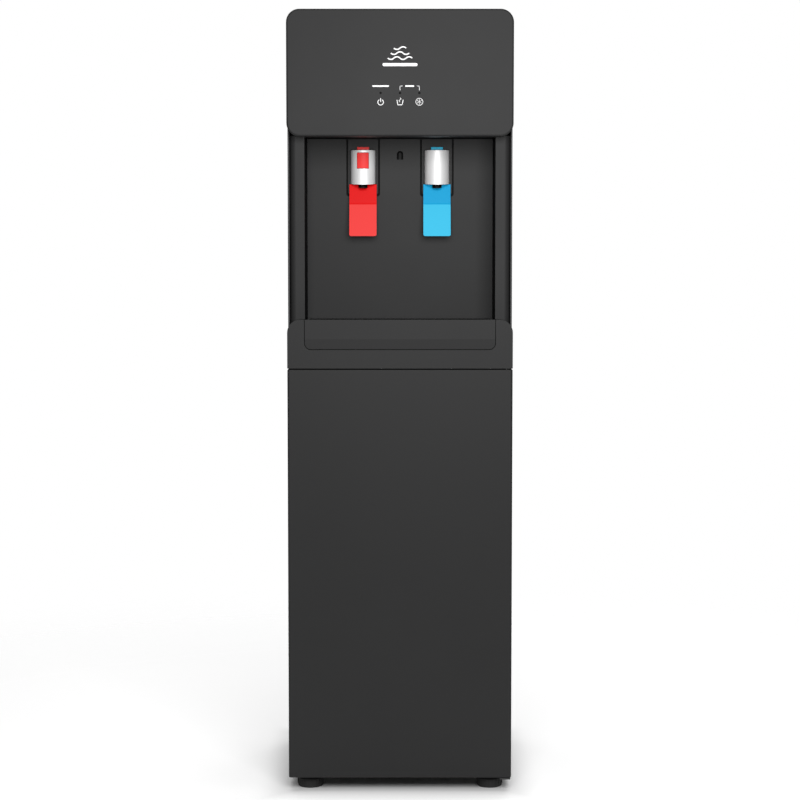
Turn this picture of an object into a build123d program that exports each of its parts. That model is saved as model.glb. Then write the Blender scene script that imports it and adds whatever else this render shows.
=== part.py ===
"""Free-standing bottleless water dispenser: a sheet-steel tower with moulded front covers.

Millimetres. +Z is up, the front faces -Y, and the origin is on the floor under the middle of
the cabinet. Each piece is its own solid or group of identical solids.
"""
import os
from math import atan2, cos, radians, sin

from build123d import *

os.makedirs("parts", exist_ok=True)

# ---------------------------------------------------------------- driving dimensions
# cabinet envelope
cabinet_w = 300.0
cabinet_d = 330.0
foot_h = 16.0
door_h = 551.5
fascia_h = 65.0
alcove_h = 242.0
head_h = 166.5

# gaps between the front covers
floor_gap = 1.0
seam_gap = 1.5
door_back_gap = 3.0
door_rib_reach = 9.0
door_rib_t = 2.0
boss_step = 1.0

# a cutting or joining solid runs this far past a face, and a hole's tool this far into a sheet
overlap = 1.0
pierce = 3.0

# stock thicknesses
sheet_t = 1.2
pan_t = 2.0
pan_lip_h = 20.0
flange_w = 12.0
shell_t = 3.0
liner_t = 1.5
panel_t = 2.5

# front covers
skin_d = 27.0
corner_r = 17.5
cover_edge_r = 2.5
door_edge_r = 3.0
top_h = 28.0

# rear
condenser_standoff = 27.0

# alcove
alcove_w = 255.0
alcove_d = 80.0
ceiling_lift = 2.0
cheek_gap = 0.2
cheek_outer_r = 8.0
cheek_inner_r = 2.0
cheek_side_d = 38.0
hem_t = 2.4
hem_d = 8.0
panel_side_gap = 0.3

# drip tray
tray_w = 254.8
tray_h = 40.3
tray_gap = 0.8
tray_corner_r = 9.0
tray_wall = 2.5
tray_rise = 0.5
tray_back_gap = 1.5
tray_body_inset = 3.4
grille_drop = 2.0
grille_t = 3.0
grille_gap = 0.5
slot_w = 4.0
slot_len = 38.0
slot_pitch = 9.0
slot_count = 24
pull_band = 13.5
pull_depth = 1.0

# taps
tap_spacing = 101.2
bezel_w = 41.0
bezel_groove = 2.6
bezel_bottom = 168.3
bezel_corner_r = 4.0
cover_w = 33.6
cover_out = 22.0
cover_h = 44.8
cover_above_deck = 183.5
cover_wall = 1.8
cover_slant = 2.2
window_w = 16.4
window_h = 22.0
window_top_gap = 3.4
button_gap = 0.4
button_t = 3.2
button_stem_w = 6.0
button_stem_len = 6.8
button_travel = 3.0
button_end_gap = 2.0
marker_w = 16.4
marker_h = 4.2
marker_out = 4.0
marker_gap = 0.6
spout_w = 17.0
spout_out = 14.5
spout_h = 32.0
nozzle_r = 6.2
nozzle_bore_r = 4.0
nozzle_out = 13.8
nozzle_drop = 6.2
passage_r = 2.5

# paddles
paddle_w = 37.2
paddle_t = 2.6
paddle_top_gap = 1.5
paddle_upper_h = 25.6
paddle_lower_h = 45.1
paddle_top_out = 6.2
paddle_bend_out = 11.5
paddle_toe_out = 24.0
paddle_corner_r = 2.6
paddle_swing = 10.0
pivot_rise = 8.0
pivot_out = 5.5
pivot_pin_r = 1.5
pivot_run_gap = 0.05
ear_t = 3.0
ear_r = 3.5
ear_gap = 0.6
pin_overhang = 1.2

# valves behind the taps
plunger_drop = 14.0
plunger_r = 3.0
plunger_gap = 0.12
plunger_head_r = 4.8
plunger_head_t = 2.4
plunger_tail_r = 1.5
plunger_tail_len = 6.0
guide_gap = 0.06
clear_gap = 0.3
valve_w = 22.0
valve_d = 24.0
valve_h = 43.0
valve_flange_t = 2.0
valve_flange_w = 50.0
valve_chamber_r = 5.2
valve_back_wall = 3.5
valve_gland = 3.0
spring_wire_r = 0.45
spring_r = 3.9
spring_turns = 6

# night light
lens_w = 3.6
lens_h = 9.4
lens_groove = 2.6
lens_t = 2.0
lens_flange = 3.0
lens_above_deck = 216.0

# head controls
led_r = 1.6
led_pitch = 25.5
led_below_top = 110.0
board_w = 92.0
board_h = 40.0
board_t = 1.6
board_gap = 12.0
standoff_inset = 4.0
standoff_r = 2.5

# door hinge
hinge_inset = 8.0
hinge_pin_r = 3.0
hinge_run_gap = 0.05
hinge_boss_h = 10.0
hinge_reach = 6.0
boss_r = 6.0
catch_w = 30.0
catch_h = 12.0
strike_t = 1.6
catch_air = 0.2

# machine layout
bulkhead_setback = 88.0
bay_open_h = 222.0
shelf_drop = 6.0
filter_pitch = 104.0
filter_r = 32.0
filter_h = 300.0
filter_top_gap = 2.0
head_r = 35.0
socket_r = 27.5
socket_depth = 27.0
neck_r = 14.0
neck_fit = 0.06
neck_h = 7.0
collar_r = 22.0
lug_r = 26.8
lug_h = 5.0
lug_arc = 50.0
ledge_h = 6.0
lug_rest_gap = 0.6
manifold_w = 190.0
manifold_h = 45.0
manifold_plate_t = 3.0
manifold_below_fascia = 12.0
manifold_channel_h = 10.0
manifold_channel_w = 12.0
gusset_w = 44.0
gusset_rise = 8.0
cartridge_foot_r = 8.0
cartridge_edge_r = 5.0
grip_ribs = 24
grip_rib_r = 1.2
grip_rib_len = 28.0
grip_rib_rise = 24.0
lug_root = 2.0
lug_head_gap = 3.0
port_inset = 10.0
port_below_top = 14.0
riser_setback = 33.0

tank_back = 90.0
cold_tank_r = 70.0
cold_tank_h = 150.0
cold_tank_wall = 1.5
cold_tank_below_cover = 20.5
lid_h = 18.0
lid_over = 2.0
lid_skirt_gap = 0.3
lid_edge_r = 5.0
lid_skirt_h = 6.0
lid_wall = 3.0
fill_boss_h = 4.0
bracket_front = 4.0
bracket_lip_h = 16.0
arm_below_rim = 22.0
arm_setback = 12.0
arm_inset = 26.0
ear_rise = 8.0
ear_drop = 5.0
ear_half = 4.0
ear_offset = 5.5
ear_plate_t = 3.0
stem_half = 5.0
stem_reach = 7.0
hot_tank_r = 52.0
hot_tank_h = 135.0
hot_tank_wall = 1.5
tank_edge_r = 6.0
hot_leg_h = 18.0
leg_r = 5.0
spigot_r = 4.2
spigot_h = 8.0
tube_r = 3.2
tube_bend_r = 9.0
tube_clear = 2.0
tube_turn_h = 20.0
loop_h = 34.0
coil_tube_r = 3.0
coil_pitch = 9.0
coil_turns = 6
coil_lift = 14.0
float_arm_len = 48.0
float_bar_t = 3.0
float_ball_r = 14.0
float_pin_r = 1.5
float_hub_r = 4.0
float_hub_half = 3.5
float_swing = 30.0

compressor_r = 60.0
compressor_h = 146.0
compressor_plate_t = 3.0
compressor_top_r = 30.0
compressor_foot_r = 14.0
weld_h = 5.0
weld_out = 2.5
motor_top_gap = 22.0
motor_foot_gap = 16.0
motor_side_gap = 10.0
terminal_out = 16.0
terminal_w = 40.0
terminal_h = 36.0
terminal_lift = 40.0
grommet_x = 72.0
grommet_y = 36.0
grommet_r = 9.0
grommet_h = 14.0
condenser_w = 210.0
condenser_pitch = 50.0
condenser_top_gap = 60.0
condenser_tube_r = 2.5
condenser_wire_r = 0.8
condenser_wires = 17
condenser_lift = 90.0
line_lift = 122.0
line_gap = 0.15
return_out = 20.0
drier_r = 8.0
drier_h = 60.0
drier_setback = 48.0
drier_lift = 72.0
wire_gap = 0.05

# rear fittings
inlet_x = 85.0
inlet_rise = 36.0
inlet_bore_r = 3.25
inlet_bore_len = 18.0
inlet_nose_r = 9.0
inlet_nose_len = 14.0
inlet_flange_r = 12.0
inlet_flange_t = 3.0
inlet_body_r = 7.0
inlet_body_len = 20.0
gland_x = -80.0
gland_rise = 30.0
gland_bore_r = 4.1
gland_body_r = 7.0
gland_nut_af = 20.0
gland_len = 10.0
drain_rise = 54.0
drain_out = 12.0
drain_cap_r = 8.0
drain_cap_len = 13.0
drain_cap_gap = 1.5
drain_rib_r = 0.8
switch_x = 85.0
switch_below_top = 96.0
switch_plate_w = 92.0
switch_plate_h = 44.0
switch_plate_t = 2.5
switch_pitch = 27.0
rocker_w = 17.0
rocker_h = 21.0
rocker_front = 6.0
rocker_back = 4.0
rocker_dish = 2.4
rocker_tilt = 10.0
rocker_gap = 0.5
rocker_inset = 1.0
rocker_pin_depth = 3.0
rocker_pin_r = 1.0
rocker_well_d = 12.0
rocker_well_wall = 1.5
rocker_end_gap = 1.5
screw_r = 2.0
screw_head_r = 4.0
screw_head_t = 2.2
screw_len = 6.0
screw_edge = 6.0
screw_rows = 5
screw_end_gap = 14.0
screw_slot_l = 4.4
screw_slot_w = 0.8
screw_slot_d = 1.2
vent_rows = 8

# feet
foot_r = 17.2
foot_inset_x = 28.0
foot_inset_y = 8.0
foot_rear_inset = 20.0
foot_edge = 1.5
foot_slope = 2.5
foot_pad_h = 14.0
foot_neck_r = 9.0
stud_r = 4.0
stud_gap = 0.3
stud_h = 14.0

# ---------------------------------------------------------------- derived levels and planes
half_w = cabinet_w / 2
front_y = -cabinet_d / 2
back_y = cabinet_d / 2
cab_front = front_y + skin_d
rear_y = back_y - condenser_standoff
flange_y = rear_y - 2 * sheet_t
pan_z0 = foot_h
pan_z1 = pan_z0 + pan_t
door_z0 = pan_z1 + floor_gap
door_z1 = door_z0 + door_h
fascia_z0 = door_z1 + seam_gap
deck_z = fascia_z0 + fascia_h
head_z0 = deck_z + alcove_h
cabinet_h = head_z0 + head_h
side_z1 = cabinet_h - top_h
ceiling_z = head_z0 + ceiling_lift
alcove_half = alcove_w / 2
panel_y = cab_front + alcove_d
panel_back = panel_y + panel_t
tray_cut_z = deck_z - tray_h
tray_half = tray_w / 2
door_back = cab_front - door_back_gap
inner_half = half_w - sheet_t
bulkhead_y = cab_front + bulkhead_setback
shelf_z = tray_cut_z - shelf_drop
bay_top = pan_z1 + bay_open_h
tap_half = tap_spacing / 2
cover_z0 = deck_z + cover_above_deck
cover_z1 = cover_z0 + cover_h
hinge_x = half_w - hinge_inset
hinge_y = front_y + hinge_inset
filter_y = (cab_front + bulkhead_y) / 2
tank_y = rear_y - tank_back - sheet_t
cold_z0 = cover_z0 - cold_tank_below_cover
hot_z0 = shelf_z + hot_leg_h
foot_x = half_w - foot_inset_x
foot_y = cab_front + foot_inset_y
foot_rear_y = rear_y - foot_rear_inset
screw_x = inner_half - screw_edge
screw_z0 = bay_top + screw_end_gap
screw_z1 = side_z1 - screw_end_gap


def front_plane(y):
    """Plane facing the front at depth y: sketch x is X, sketch y is Z."""
    return Plane.XZ.offset(-y)


def side_plane(x):
    """Plane facing +X at x: sketch x is Y, sketch y is Z."""
    return Plane.YZ.offset(x)


def block(x0, x1, y0, y1, z0, z1, mode=Mode.ADD):
    """Box between two opposite corners."""
    with Locations(((x0 + x1) / 2, (y0 + y1) / 2, (z0 + z1) / 2)):
        Box(x1 - x0, y1 - y0, z1 - z0, mode=mode)


def post(x, y, z0, z1, radius, mode=Mode.ADD):
    """Upright cylinder between two levels."""
    with Locations((x, y, (z0 + z1) / 2)):
        Cylinder(radius, z1 - z0, mode=mode)


def rod_y(x, z, y0, y1, radius, mode=Mode.ADD):
    """Cylinder along Y between two depths."""
    with Locations(Location((x, (y0 + y1) / 2, z), (90, 0, 0))):
        Cylinder(radius, y1 - y0, mode=mode)


def rod_x(y, z, x0, x1, radius, mode=Mode.ADD):
    """Cylinder along X between two places."""
    with Locations(Location(((x0 + x1) / 2, y, z), (0, 90, 0))):
        Cylinder(radius, x1 - x0, mode=mode)


# ---------------------------------------------------------------- base and feet
screw_levels = [screw_z0 + (screw_z1 - screw_z0) * i / (screw_rows - 1) for i in range(screw_rows)]
foot_places = [(sx * foot_x, y) for sx in (-1, 1) for y in (foot_y, foot_rear_y)]

with BuildPart() as base_pan:
    block(-half_w + hem_t, half_w - hem_t, cab_front, flange_y, pan_z0, pan_z1)
    block(-inner_half, inner_half, cab_front + hem_d, flange_y, pan_z0, pan_z1)
    # tab under the door that carries the lower hinge pin
    block(hinge_x - boss_r - overlap, half_w - overlap, hinge_y - boss_r, cab_front, pan_z0, pan_z1)
    # stiffening lips at the front and back
    lip_z1 = pan_z1 + pan_lip_h
    lip_half = half_w - hem_t - overlap
    back_lip_half = inner_half - flange_w
    block(-lip_half, lip_half, cab_front, cab_front + sheet_t, pan_z1, lip_z1)
    block(-back_lip_half, back_lip_half, flange_y - sheet_t, flange_y, pan_z1, lip_z1)
    for x, y in foot_places:
        post(x, y, pan_z0 - overlap, pan_z1 + overlap, stud_r + stud_gap, Mode.SUBTRACT)
    post(hinge_x, hinge_y, pan_z0 - overlap, pan_z1 + overlap, hinge_pin_r, Mode.SUBTRACT)
base_pan.part.label = "base_pan"
export_step(base_pan.part, "parts/base_pan.step")

with BuildPart() as levelling_feet:
    for x, y in foot_places:
        with BuildSketch(Plane.XZ.offset(-y)):
            with BuildLine():
                Polyline(
                    (x, 0),
                    (x + foot_r - foot_edge, 0),
                    (x + foot_r, foot_edge),
                    (x + foot_r, foot_pad_h - foot_slope),
                    (x + foot_r - foot_slope, foot_pad_h),
                    (x + foot_neck_r, foot_pad_h),
                    (x + foot_neck_r, foot_h),
                    (x + stud_r, foot_h),
                    (x + stud_r, foot_h + stud_h),
                    (x, foot_h + stud_h),
                    close=True,
                )
            make_face()
        revolve(axis=Axis((x, y, 0), (0, 0, 1)))
levelling_feet.part.label = "levelling_feet"
export_step(levelling_feet.part, "parts/levelling_feet.step")

# ---------------------------------------------------------------- steel cabinet
for side, sx in (("left", -1), ("right", 1)):
    with BuildPart() as side_panel:
        with BuildSketch(Plane.XY.offset(pan_z0)):
            with Locations((sx * (half_w - sheet_t / 2), (cab_front + rear_y) / 2)):
                Rectangle(sheet_t, rear_y - cab_front)
            # the front edge is folded back on itself
            with Locations((sx * (half_w - hem_t / 2), cab_front + hem_d / 2)):
                Rectangle(hem_t, hem_d)
            with Locations((sx * (inner_half - flange_w / 2), flange_y + sheet_t / 2)):
                Rectangle(flange_w, sheet_t)
        extrude(amount=side_z1 - pan_z0)
        fillet(side_panel.edges().filter_by(Axis.Z).group_by(Axis.Y)[0], hem_t * 0.4)
        for z in screw_levels:
            rod_y(sx * screw_x, z, flange_y - overlap, rear_y + overlap, screw_r, Mode.SUBTRACT)
    side_panel.part.label = f"side_panel_{side}"
    export_step(side_panel.part, f"parts/side_panel_{side}.step")

inlet_z = bay_top + inlet_rise
gland_z = bay_top + gland_rise
drain_z = bay_top + drain_rise
switch_z = cabinet_h - switch_below_top

with BuildPart() as rear_panel:
    block(-inner_half, inner_half, rear_y - sheet_t, rear_y, bay_top, side_z1)
    for sx in (-1, 1):
        for z in screw_levels:
            rod_y(sx * screw_x, z, rear_y - pierce, rear_y + overlap, screw_r, Mode.SUBTRACT)
    rod_y(inlet_x, inlet_z, rear_y - pierce, rear_y + overlap, inlet_body_r, Mode.SUBTRACT)
    rod_y(gland_x, gland_z, rear_y - pierce, rear_y + overlap, gland_body_r, Mode.SUBTRACT)
    rod_y(0, drain_z, rear_y - pierce, rear_y + overlap, tube_r + tube_clear, Mode.SUBTRACT)
    block(
        switch_x - switch_plate_w / 2 + 5,
        switch_x + switch_plate_w / 2 - 5,
        rear_y - pierce,
        rear_y + overlap,
        switch_z - switch_plate_h / 2 + 5,
        switch_z + switch_plate_h / 2 - 5,
        Mode.SUBTRACT,
    )
    # cooling slots behind the condenser
    with BuildSketch(front_plane(rear_y)):
        with Locations((0, (bay_top + side_z1) / 2)):
            with GridLocations(90, 40, 2, vent_rows):
                SlotOverall(70, 5)
    extrude(amount=sheet_t, mode=Mode.SUBTRACT)
rear_panel.part.label = "rear_panel"
export_step(rear_panel.part, "parts/rear_panel.step")

with BuildPart() as panel_screws:
    for sx in (-1, 1):
        for z in screw_levels:
            rod_y(sx * screw_x, z, rear_y - screw_len, rear_y, screw_r)
            rod_y(sx * screw_x, z, rear_y, rear_y + screw_head_t, screw_head_r)
            # cross recess
            with Locations((sx * screw_x, rear_y + screw_head_t, z)):
                Box(screw_slot_l, 2 * screw_slot_d, screw_slot_w, mode=Mode.SUBTRACT)
                Box(screw_slot_w, 2 * screw_slot_d, screw_slot_l, mode=Mode.SUBTRACT)
panel_screws.part.label = "panel_screws"
export_step(panel_screws.part, "parts/panel_screws.step")

filter_x = filter_pitch / 2
manifold_z1 = fascia_z0 - manifold_below_fascia
manifold_z0 = manifold_z1 - manifold_h
port_x = manifold_w / 2 - port_inset
port_z = manifold_z1 - port_below_top
riser_y = bulkhead_y + riser_setback

with BuildPart() as bulkhead_shelf:
    block(-inner_half, inner_half, bulkhead_y, bulkhead_y + sheet_t, pan_z1, shelf_z)
    block(-inner_half, inner_half, bulkhead_y, flange_y, shelf_z - sheet_t, shelf_z)
    for sx in (-1, 1):
        rod_y(sx * port_x, port_z, bulkhead_y - overlap, bulkhead_y + pierce, tube_r + tube_clear, Mode.SUBTRACT)
    post(-port_x, riser_y, shelf_z - pierce, shelf_z + overlap, tube_r + tube_clear, Mode.SUBTRACT)
    post(0, tank_y, shelf_z - pierce, shelf_z + overlap, tube_r + tube_clear, Mode.SUBTRACT)
bulkhead_shelf.part.label = "bulkhead_shelf"
export_step(bulkhead_shelf.part, "parts/bulkhead_shelf.step")

with BuildPart() as top_cover:
    with BuildSketch(front_plane(cab_front)) as top_section:
        with Locations((0, cabinet_h - top_h / 2)):
            Rectangle(cabinet_w, top_h)
        fillet(top_section.vertices().group_by(Axis.Y)[-1], corner_r)
    extrude(amount=-(rear_y - cab_front))
    fillet(top_cover.edges().filter_by(Axis.X).sort_by(Axis.Z)[-2:].sort_by(Axis.Y)[-1], 8)
    with BuildSketch(front_plane(cab_front + shell_t)) as top_hollow:
        with Locations((0, cabinet_h - top_h / 2 - shell_t)):
            Rectangle(cabinet_w - 2 * shell_t, top_h)
        fillet(top_hollow.vertices().group_by(Axis.Y)[-1], corner_r - shell_t)
    extrude(amount=-(rear_y - cab_front - 2 * shell_t - 5), mode=Mode.SUBTRACT)
top_cover.part.label = "top_cover"
export_step(top_cover.part, "parts/top_cover.step")

# ---------------------------------------------------------------- head cover and its lights
led_z = cabinet_h - led_below_top
board_y = front_y + board_gap

with BuildPart() as head_cover:
    with BuildSketch(front_plane(front_y)):
        with Locations((0, head_z0 + head_h / 2)):
            RectangleRounded(cabinet_w, head_h, corner_r)
    extrude(amount=-skin_d)
    fillet(head_cover.faces().sort_by(Axis.Y)[0].edges(), cover_edge_r)
    with BuildSketch(front_plane(front_y + shell_t)):
        with Locations((0, head_z0 + head_h / 2)):
            RectangleRounded(cabinet_w - 2 * shell_t, head_h - 2 * shell_t, corner_r - shell_t)
    extrude(amount=-skin_d, mode=Mode.SUBTRACT)
    for i in (-1, 0, 1):
        rod_y(i * led_pitch, led_z, front_y - overlap, front_y + shell_t + overlap, led_r, Mode.SUBTRACT)
head_cover.part.label = "head_cover"
export_step(head_cover.part, "parts/head_cover.step")

with BuildPart() as indicator_lights:
    for i in (-1, 0, 1):
        rod_y(i * led_pitch, led_z, front_y, board_y, led_r)
indicator_lights.part.label = "indicator_lights"
export_step(indicator_lights.part, "parts/indicator_lights.step")

with BuildPart() as indicator_board:
    with Locations((0, board_y + board_t / 2, led_z)):
        Box(board_w, board_t, board_h)
    # standoffs down to the inside of the cover
    for sx in (-1, 1):
        for sz in (-1, 1):
            post_x = sx * (board_w / 2 - standoff_inset)
            post_z = led_z + sz * (board_h / 2 - standoff_inset)
            rod_y(post_x, post_z, front_y + shell_t, board_y, standoff_r)
indicator_board.part.label = "indicator_board"
export_step(indicator_board.part, "parts/indicator_board.step")

# ---------------------------------------------------------------- alcove
cheek_x1 = half_w - hem_t - cheek_gap
cheek_z0 = fascia_z0 + 5

for side, sx in (("left", -1), ("right", 1)):
    with BuildPart() as cheek:
        with BuildSketch(Plane.XY.offset(cheek_z0)) as cheek_section:
            with BuildLine():
                Polyline(
                    (sx * alcove_half, cab_front),
                    (sx * cheek_x1, cab_front),
                    (sx * cheek_x1, cab_front + cheek_side_d),
                    (sx * (cheek_x1 - shell_t), cab_front + cheek_side_d),
                    (sx * (cheek_x1 - shell_t), cab_front + shell_t),
                    (sx * alcove_half, cab_front + shell_t),
                    close=True,
                )
            make_face()
            corners = cheek_section.vertices().group_by(Axis.Y)[0].sort_by(Axis.X)
            inner_corner = corners[-1] if sx < 0 else corners[0]
            outer_corner = corners[0] if sx < 0 else corners[-1]
            fillet(outer_corner, cheek_outer_r)
            fillet(inner_corner, cheek_inner_r)
        extrude(amount=ceiling_z - cheek_z0)
    cheek.part.label = f"alcove_cheek_{side}"
    export_step(cheek.part, f"parts/alcove_cheek_{side}.step")

liner_z0 = tray_cut_z
with BuildPart() as alcove_liner:
    liner_half = alcove_half + liner_t
    liner_z1 = ceiling_z + liner_t
    block(-liner_half, liner_half, cab_front + shell_t, panel_back, liner_z0, liner_z1)
    hollow_back = panel_back + overlap
    block(-alcove_half, alcove_half, cab_front, hollow_back, liner_z0 + liner_t, ceiling_z, Mode.SUBTRACT)
alcove_liner.part.label = "alcove_liner"
export_step(alcove_liner.part, "parts/alcove_liner.step")

bezel_z0 = deck_z + bezel_bottom
lens_z0 = deck_z + lens_above_deck


def arch(width, height, z0):
    """Upright arch outline with a half-round top, in the current sketch."""
    with Locations((0, z0 + (height - width / 2) / 2)):
        Rectangle(width, height - width / 2)
    with Locations((0, z0 + height - width / 2)):
        Circle(width / 2)


with BuildPart() as alcove_back_panel:
    block(
        -alcove_half + panel_side_gap,
        alcove_half - panel_side_gap,
        panel_y,
        panel_back,
        liner_z0 + liner_t,
        ceiling_z,
    )
    with BuildSketch(front_plane(panel_y)):
        for sx in (-1, 1):
            with Locations((sx * tap_half, (bezel_z0 - bezel_groove + ceiling_z + corner_r) / 2)):
                RectangleRounded(
                    bezel_w + 2 * bezel_groove, ceiling_z + corner_r - bezel_z0 + bezel_groove, bezel_corner_r
                )
        arch(lens_w + 2 * lens_groove, lens_h + lens_groove, lens_z0)
    extrude(amount=-panel_t, mode=Mode.SUBTRACT)
alcove_back_panel.part.label = "alcove_back_panel"
export_step(alcove_back_panel.part, "parts/alcove_back_panel.step")

with BuildPart() as night_light_lens:
    with BuildSketch(front_plane(panel_y)):
        arch(lens_w, lens_h, lens_z0)
    extrude(amount=-panel_t)
    with BuildSketch(front_plane(panel_back)):
        flange_grow = lens_groove + lens_flange
        arch(lens_w + 2 * flange_grow, lens_h + flange_grow + lens_flange, lens_z0 - lens_flange)
    extrude(amount=-lens_t)
night_light_lens.part.label = "night_light_lens"
export_step(night_light_lens.part, "parts/night_light_lens.step")

# ---------------------------------------------------------------- fascia round the drip tray
with BuildPart() as front_fascia:
    with BuildSketch(front_plane(front_y)) as fascia_outline:
        with Locations((0, fascia_z0 + fascia_h / 2)):
            Rectangle(cabinet_w, fascia_h)
        fillet(fascia_outline.vertices().group_by(Axis.Y)[-1], corner_r)
        with Locations((0, tray_cut_z + fascia_h / 2)):
            RectangleRounded(tray_w, fascia_h, tray_corner_r, mode=Mode.SUBTRACT)
    extrude(amount=-skin_d)
    with BuildSketch(front_plane(front_y + shell_t)):
        add(fascia_outline.sketch_local)
        offset(amount=-shell_t, kind=Kind.INTERSECTION, mode=Mode.REPLACE)
    extrude(amount=-skin_d, mode=Mode.SUBTRACT)
    post(hinge_x, hinge_y, fascia_z0, fascia_z0 + hinge_boss_h, boss_r - boss_step)
    post(hinge_x, hinge_y, fascia_z0 - overlap, fascia_z0 + hinge_reach, hinge_pin_r, Mode.SUBTRACT)
front_fascia.part.label = "front_fascia"
export_step(front_fascia.part, "parts/front_fascia.step")

# ---------------------------------------------------------------- service door
with BuildPart() as service_door:
    block(-half_w, half_w, front_y, door_back, door_z0, door_z1)
    fillet(service_door.faces().sort_by(Axis.Y)[0].edges().filter_by(Axis.Z), door_edge_r)
    fillet(service_door.faces().sort_by(Axis.Y)[0].edges().filter_by(Axis.X), 1.2)
    block(
        -half_w + shell_t,
        half_w - shell_t,
        front_y + shell_t,
        door_back + overlap,
        door_z0 + shell_t,
        door_z1 - shell_t,
        Mode.SUBTRACT,
    )
    for z0, z1 in ((door_z0, door_z0 + hinge_reach), (door_z1 - hinge_reach, door_z1)):
        post(hinge_x, hinge_y, z0, z1, boss_r - boss_step)
        post(hinge_x, hinge_y, z0 - overlap, z1 + overlap, hinge_pin_r + hinge_run_gap, Mode.SUBTRACT)
    # ribs across the back of the door skin
    for k in (1, 2, 3):
        rib_z = door_z0 + door_h * k / 4
        block(
            -half_w + shell_t,
            half_w - shell_t,
            front_y + shell_t,
            front_y + door_rib_reach,
            rib_z - door_rib_t / 2,
            rib_z + door_rib_t / 2,
        )
service_door.part.label = "service_door"
export_step(service_door.part, "parts/service_door.step")

with BuildPart() as door_hinge_pins:
    post(hinge_x, hinge_y, pan_z0, door_z0 + hinge_reach, hinge_pin_r)
    post(hinge_x, hinge_y, door_z1 - hinge_reach, fascia_z0 + hinge_reach, hinge_pin_r)
door_hinge_pins.part.label = "door_hinge_pins"
export_step(door_hinge_pins.part, "parts/door_hinge_pins.step")

catch_x = -half_w + 15 + catch_w / 2
catch_z = door_z0 + shell_t + overlap + catch_h / 2
with BuildPart() as door_magnet:
    block(
        catch_x - catch_w / 2,
        catch_x + catch_w / 2,
        door_back - catch_air,
        cab_front,
        catch_z - catch_h / 2,
        catch_z + catch_h / 2,
    )
door_magnet.part.label = "door_magnet"
export_step(door_magnet.part, "parts/door_magnet.step")

with BuildPart() as door_strike:
    block(
        catch_x - catch_w / 2,
        catch_x + catch_w / 2,
        door_back - 2 * catch_air - strike_t,
        door_back - 2 * catch_air,
        door_z0 + shell_t,
        catch_z + catch_h / 2,
    )
    block(
        catch_x - catch_w / 2,
        catch_x + catch_w / 2,
        front_y + shell_t,
        door_back - 2 * catch_air - strike_t,
        door_z0 + shell_t,
        door_z0 + shell_t + strike_t,
    )
door_strike.part.label = "door_strike"
export_step(door_strike.part, "parts/door_strike.step")

# ---------------------------------------------------------------- drip tray and grille
tray_z0 = tray_cut_z + tray_gap
tray_body_z0 = liner_z0 + liner_t + tray_rise
grille_z1 = deck_z - grille_drop
grille_z0 = grille_z1 - grille_t
body_half = tray_half - tray_body_inset
tray_back = panel_y - tray_back_gap

with BuildPart() as drip_tray:
    with BuildSketch(front_plane(front_y)) as tray_front:
        with Locations((0, (tray_z0 + deck_z) / 2)):
            Rectangle(tray_w - 2 * tray_gap, deck_z - tray_z0)
        fillet(tray_front.vertices().group_by(Axis.Y)[0], tray_corner_r - tray_gap)
    extrude(amount=-shell_t)
    # the lower band of the front leans in for the fingers
    with BuildSketch(side_plane(-tray_half)):
        with BuildLine():
            Polyline(
                (front_y - overlap, tray_z0 + pull_band),
                (front_y, tray_z0 + pull_band),
                (front_y + pull_depth, tray_z0 - overlap),
                (front_y - overlap, tray_z0 - overlap),
                close=True,
            )
        make_face()
    extrude(amount=2 * tray_half, mode=Mode.SUBTRACT)
    with BuildSketch(front_plane(front_y + shell_t)) as tray_body:
        with Locations((0, (tray_body_z0 + grille_z0) / 2)):
            Rectangle(2 * body_half, grille_z0 - tray_body_z0)
        fillet(tray_body.vertices().group_by(Axis.Y)[0], tray_corner_r / 2)
    extrude(amount=-(tray_back - front_y - shell_t))
    block(
        -body_half + tray_wall,
        body_half - tray_wall,
        front_y + shell_t + tray_wall,
        tray_back - tray_wall,
        tray_body_z0 + tray_wall,
        grille_z0 + overlap,
        Mode.SUBTRACT,
    )
drip_tray.part.label = "drip_tray"
export_step(drip_tray.part, "parts/drip_tray.step")

grille_y0 = front_y + shell_t + grille_gap
grille_y1 = tray_back - grille_gap
with BuildPart() as drip_grille:
    block(-body_half + grille_gap, body_half - grille_gap, grille_y0, grille_y1, grille_z0, grille_z1)
    with BuildSketch(Plane.XY.offset(grille_z0)):
        with Locations((0, (grille_y0 + grille_y1) / 2)):
            with GridLocations(slot_pitch, slot_len + 6, slot_count, 2):
                SlotOverall(slot_len, slot_w, rotation=90)
    extrude(amount=grille_t, mode=Mode.SUBTRACT)
drip_grille.part.label = "drip_grille"
export_step(drip_grille.part, "parts/drip_grille.step")

# ---------------------------------------------------------------- taps
pivot_y = panel_y - pivot_out
pivot_z = cover_z0 + pivot_rise
nozzle_y = panel_y - nozzle_out
nozzle_z0 = cover_z0 - nozzle_drop
spout_z0 = pivot_z - 4.5
spout_z1 = spout_z0 + spout_h
passage_z = pivot_z + pivot_pin_r + passage_r + 2
cover_r = cover_w / 2
cover_axis_y = panel_y - (cover_out - cover_r)
window_z1 = cover_z1 - window_top_gap
window_z0 = window_z1 - window_h
button_z = (window_z0 + window_z1) / 2
button_y = panel_y - cover_out + button_t
button_stem_y1 = button_y + button_stem_len
paddle_top_z = cover_z0 - paddle_top_gap
paddle_bend_z = paddle_top_z - paddle_upper_h
paddle_toe_z = paddle_bend_z - paddle_lower_h
paddle_top_y = panel_y - paddle_top_out
paddle_bend_y = panel_y - paddle_bend_out
paddle_toe_y = panel_y - paddle_toe_out
ear_x0 = spout_w / 2 + ear_gap
ear_x1 = ear_x0 + ear_t
valve_y0 = panel_back
plunger_z = pivot_z - plunger_drop

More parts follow.
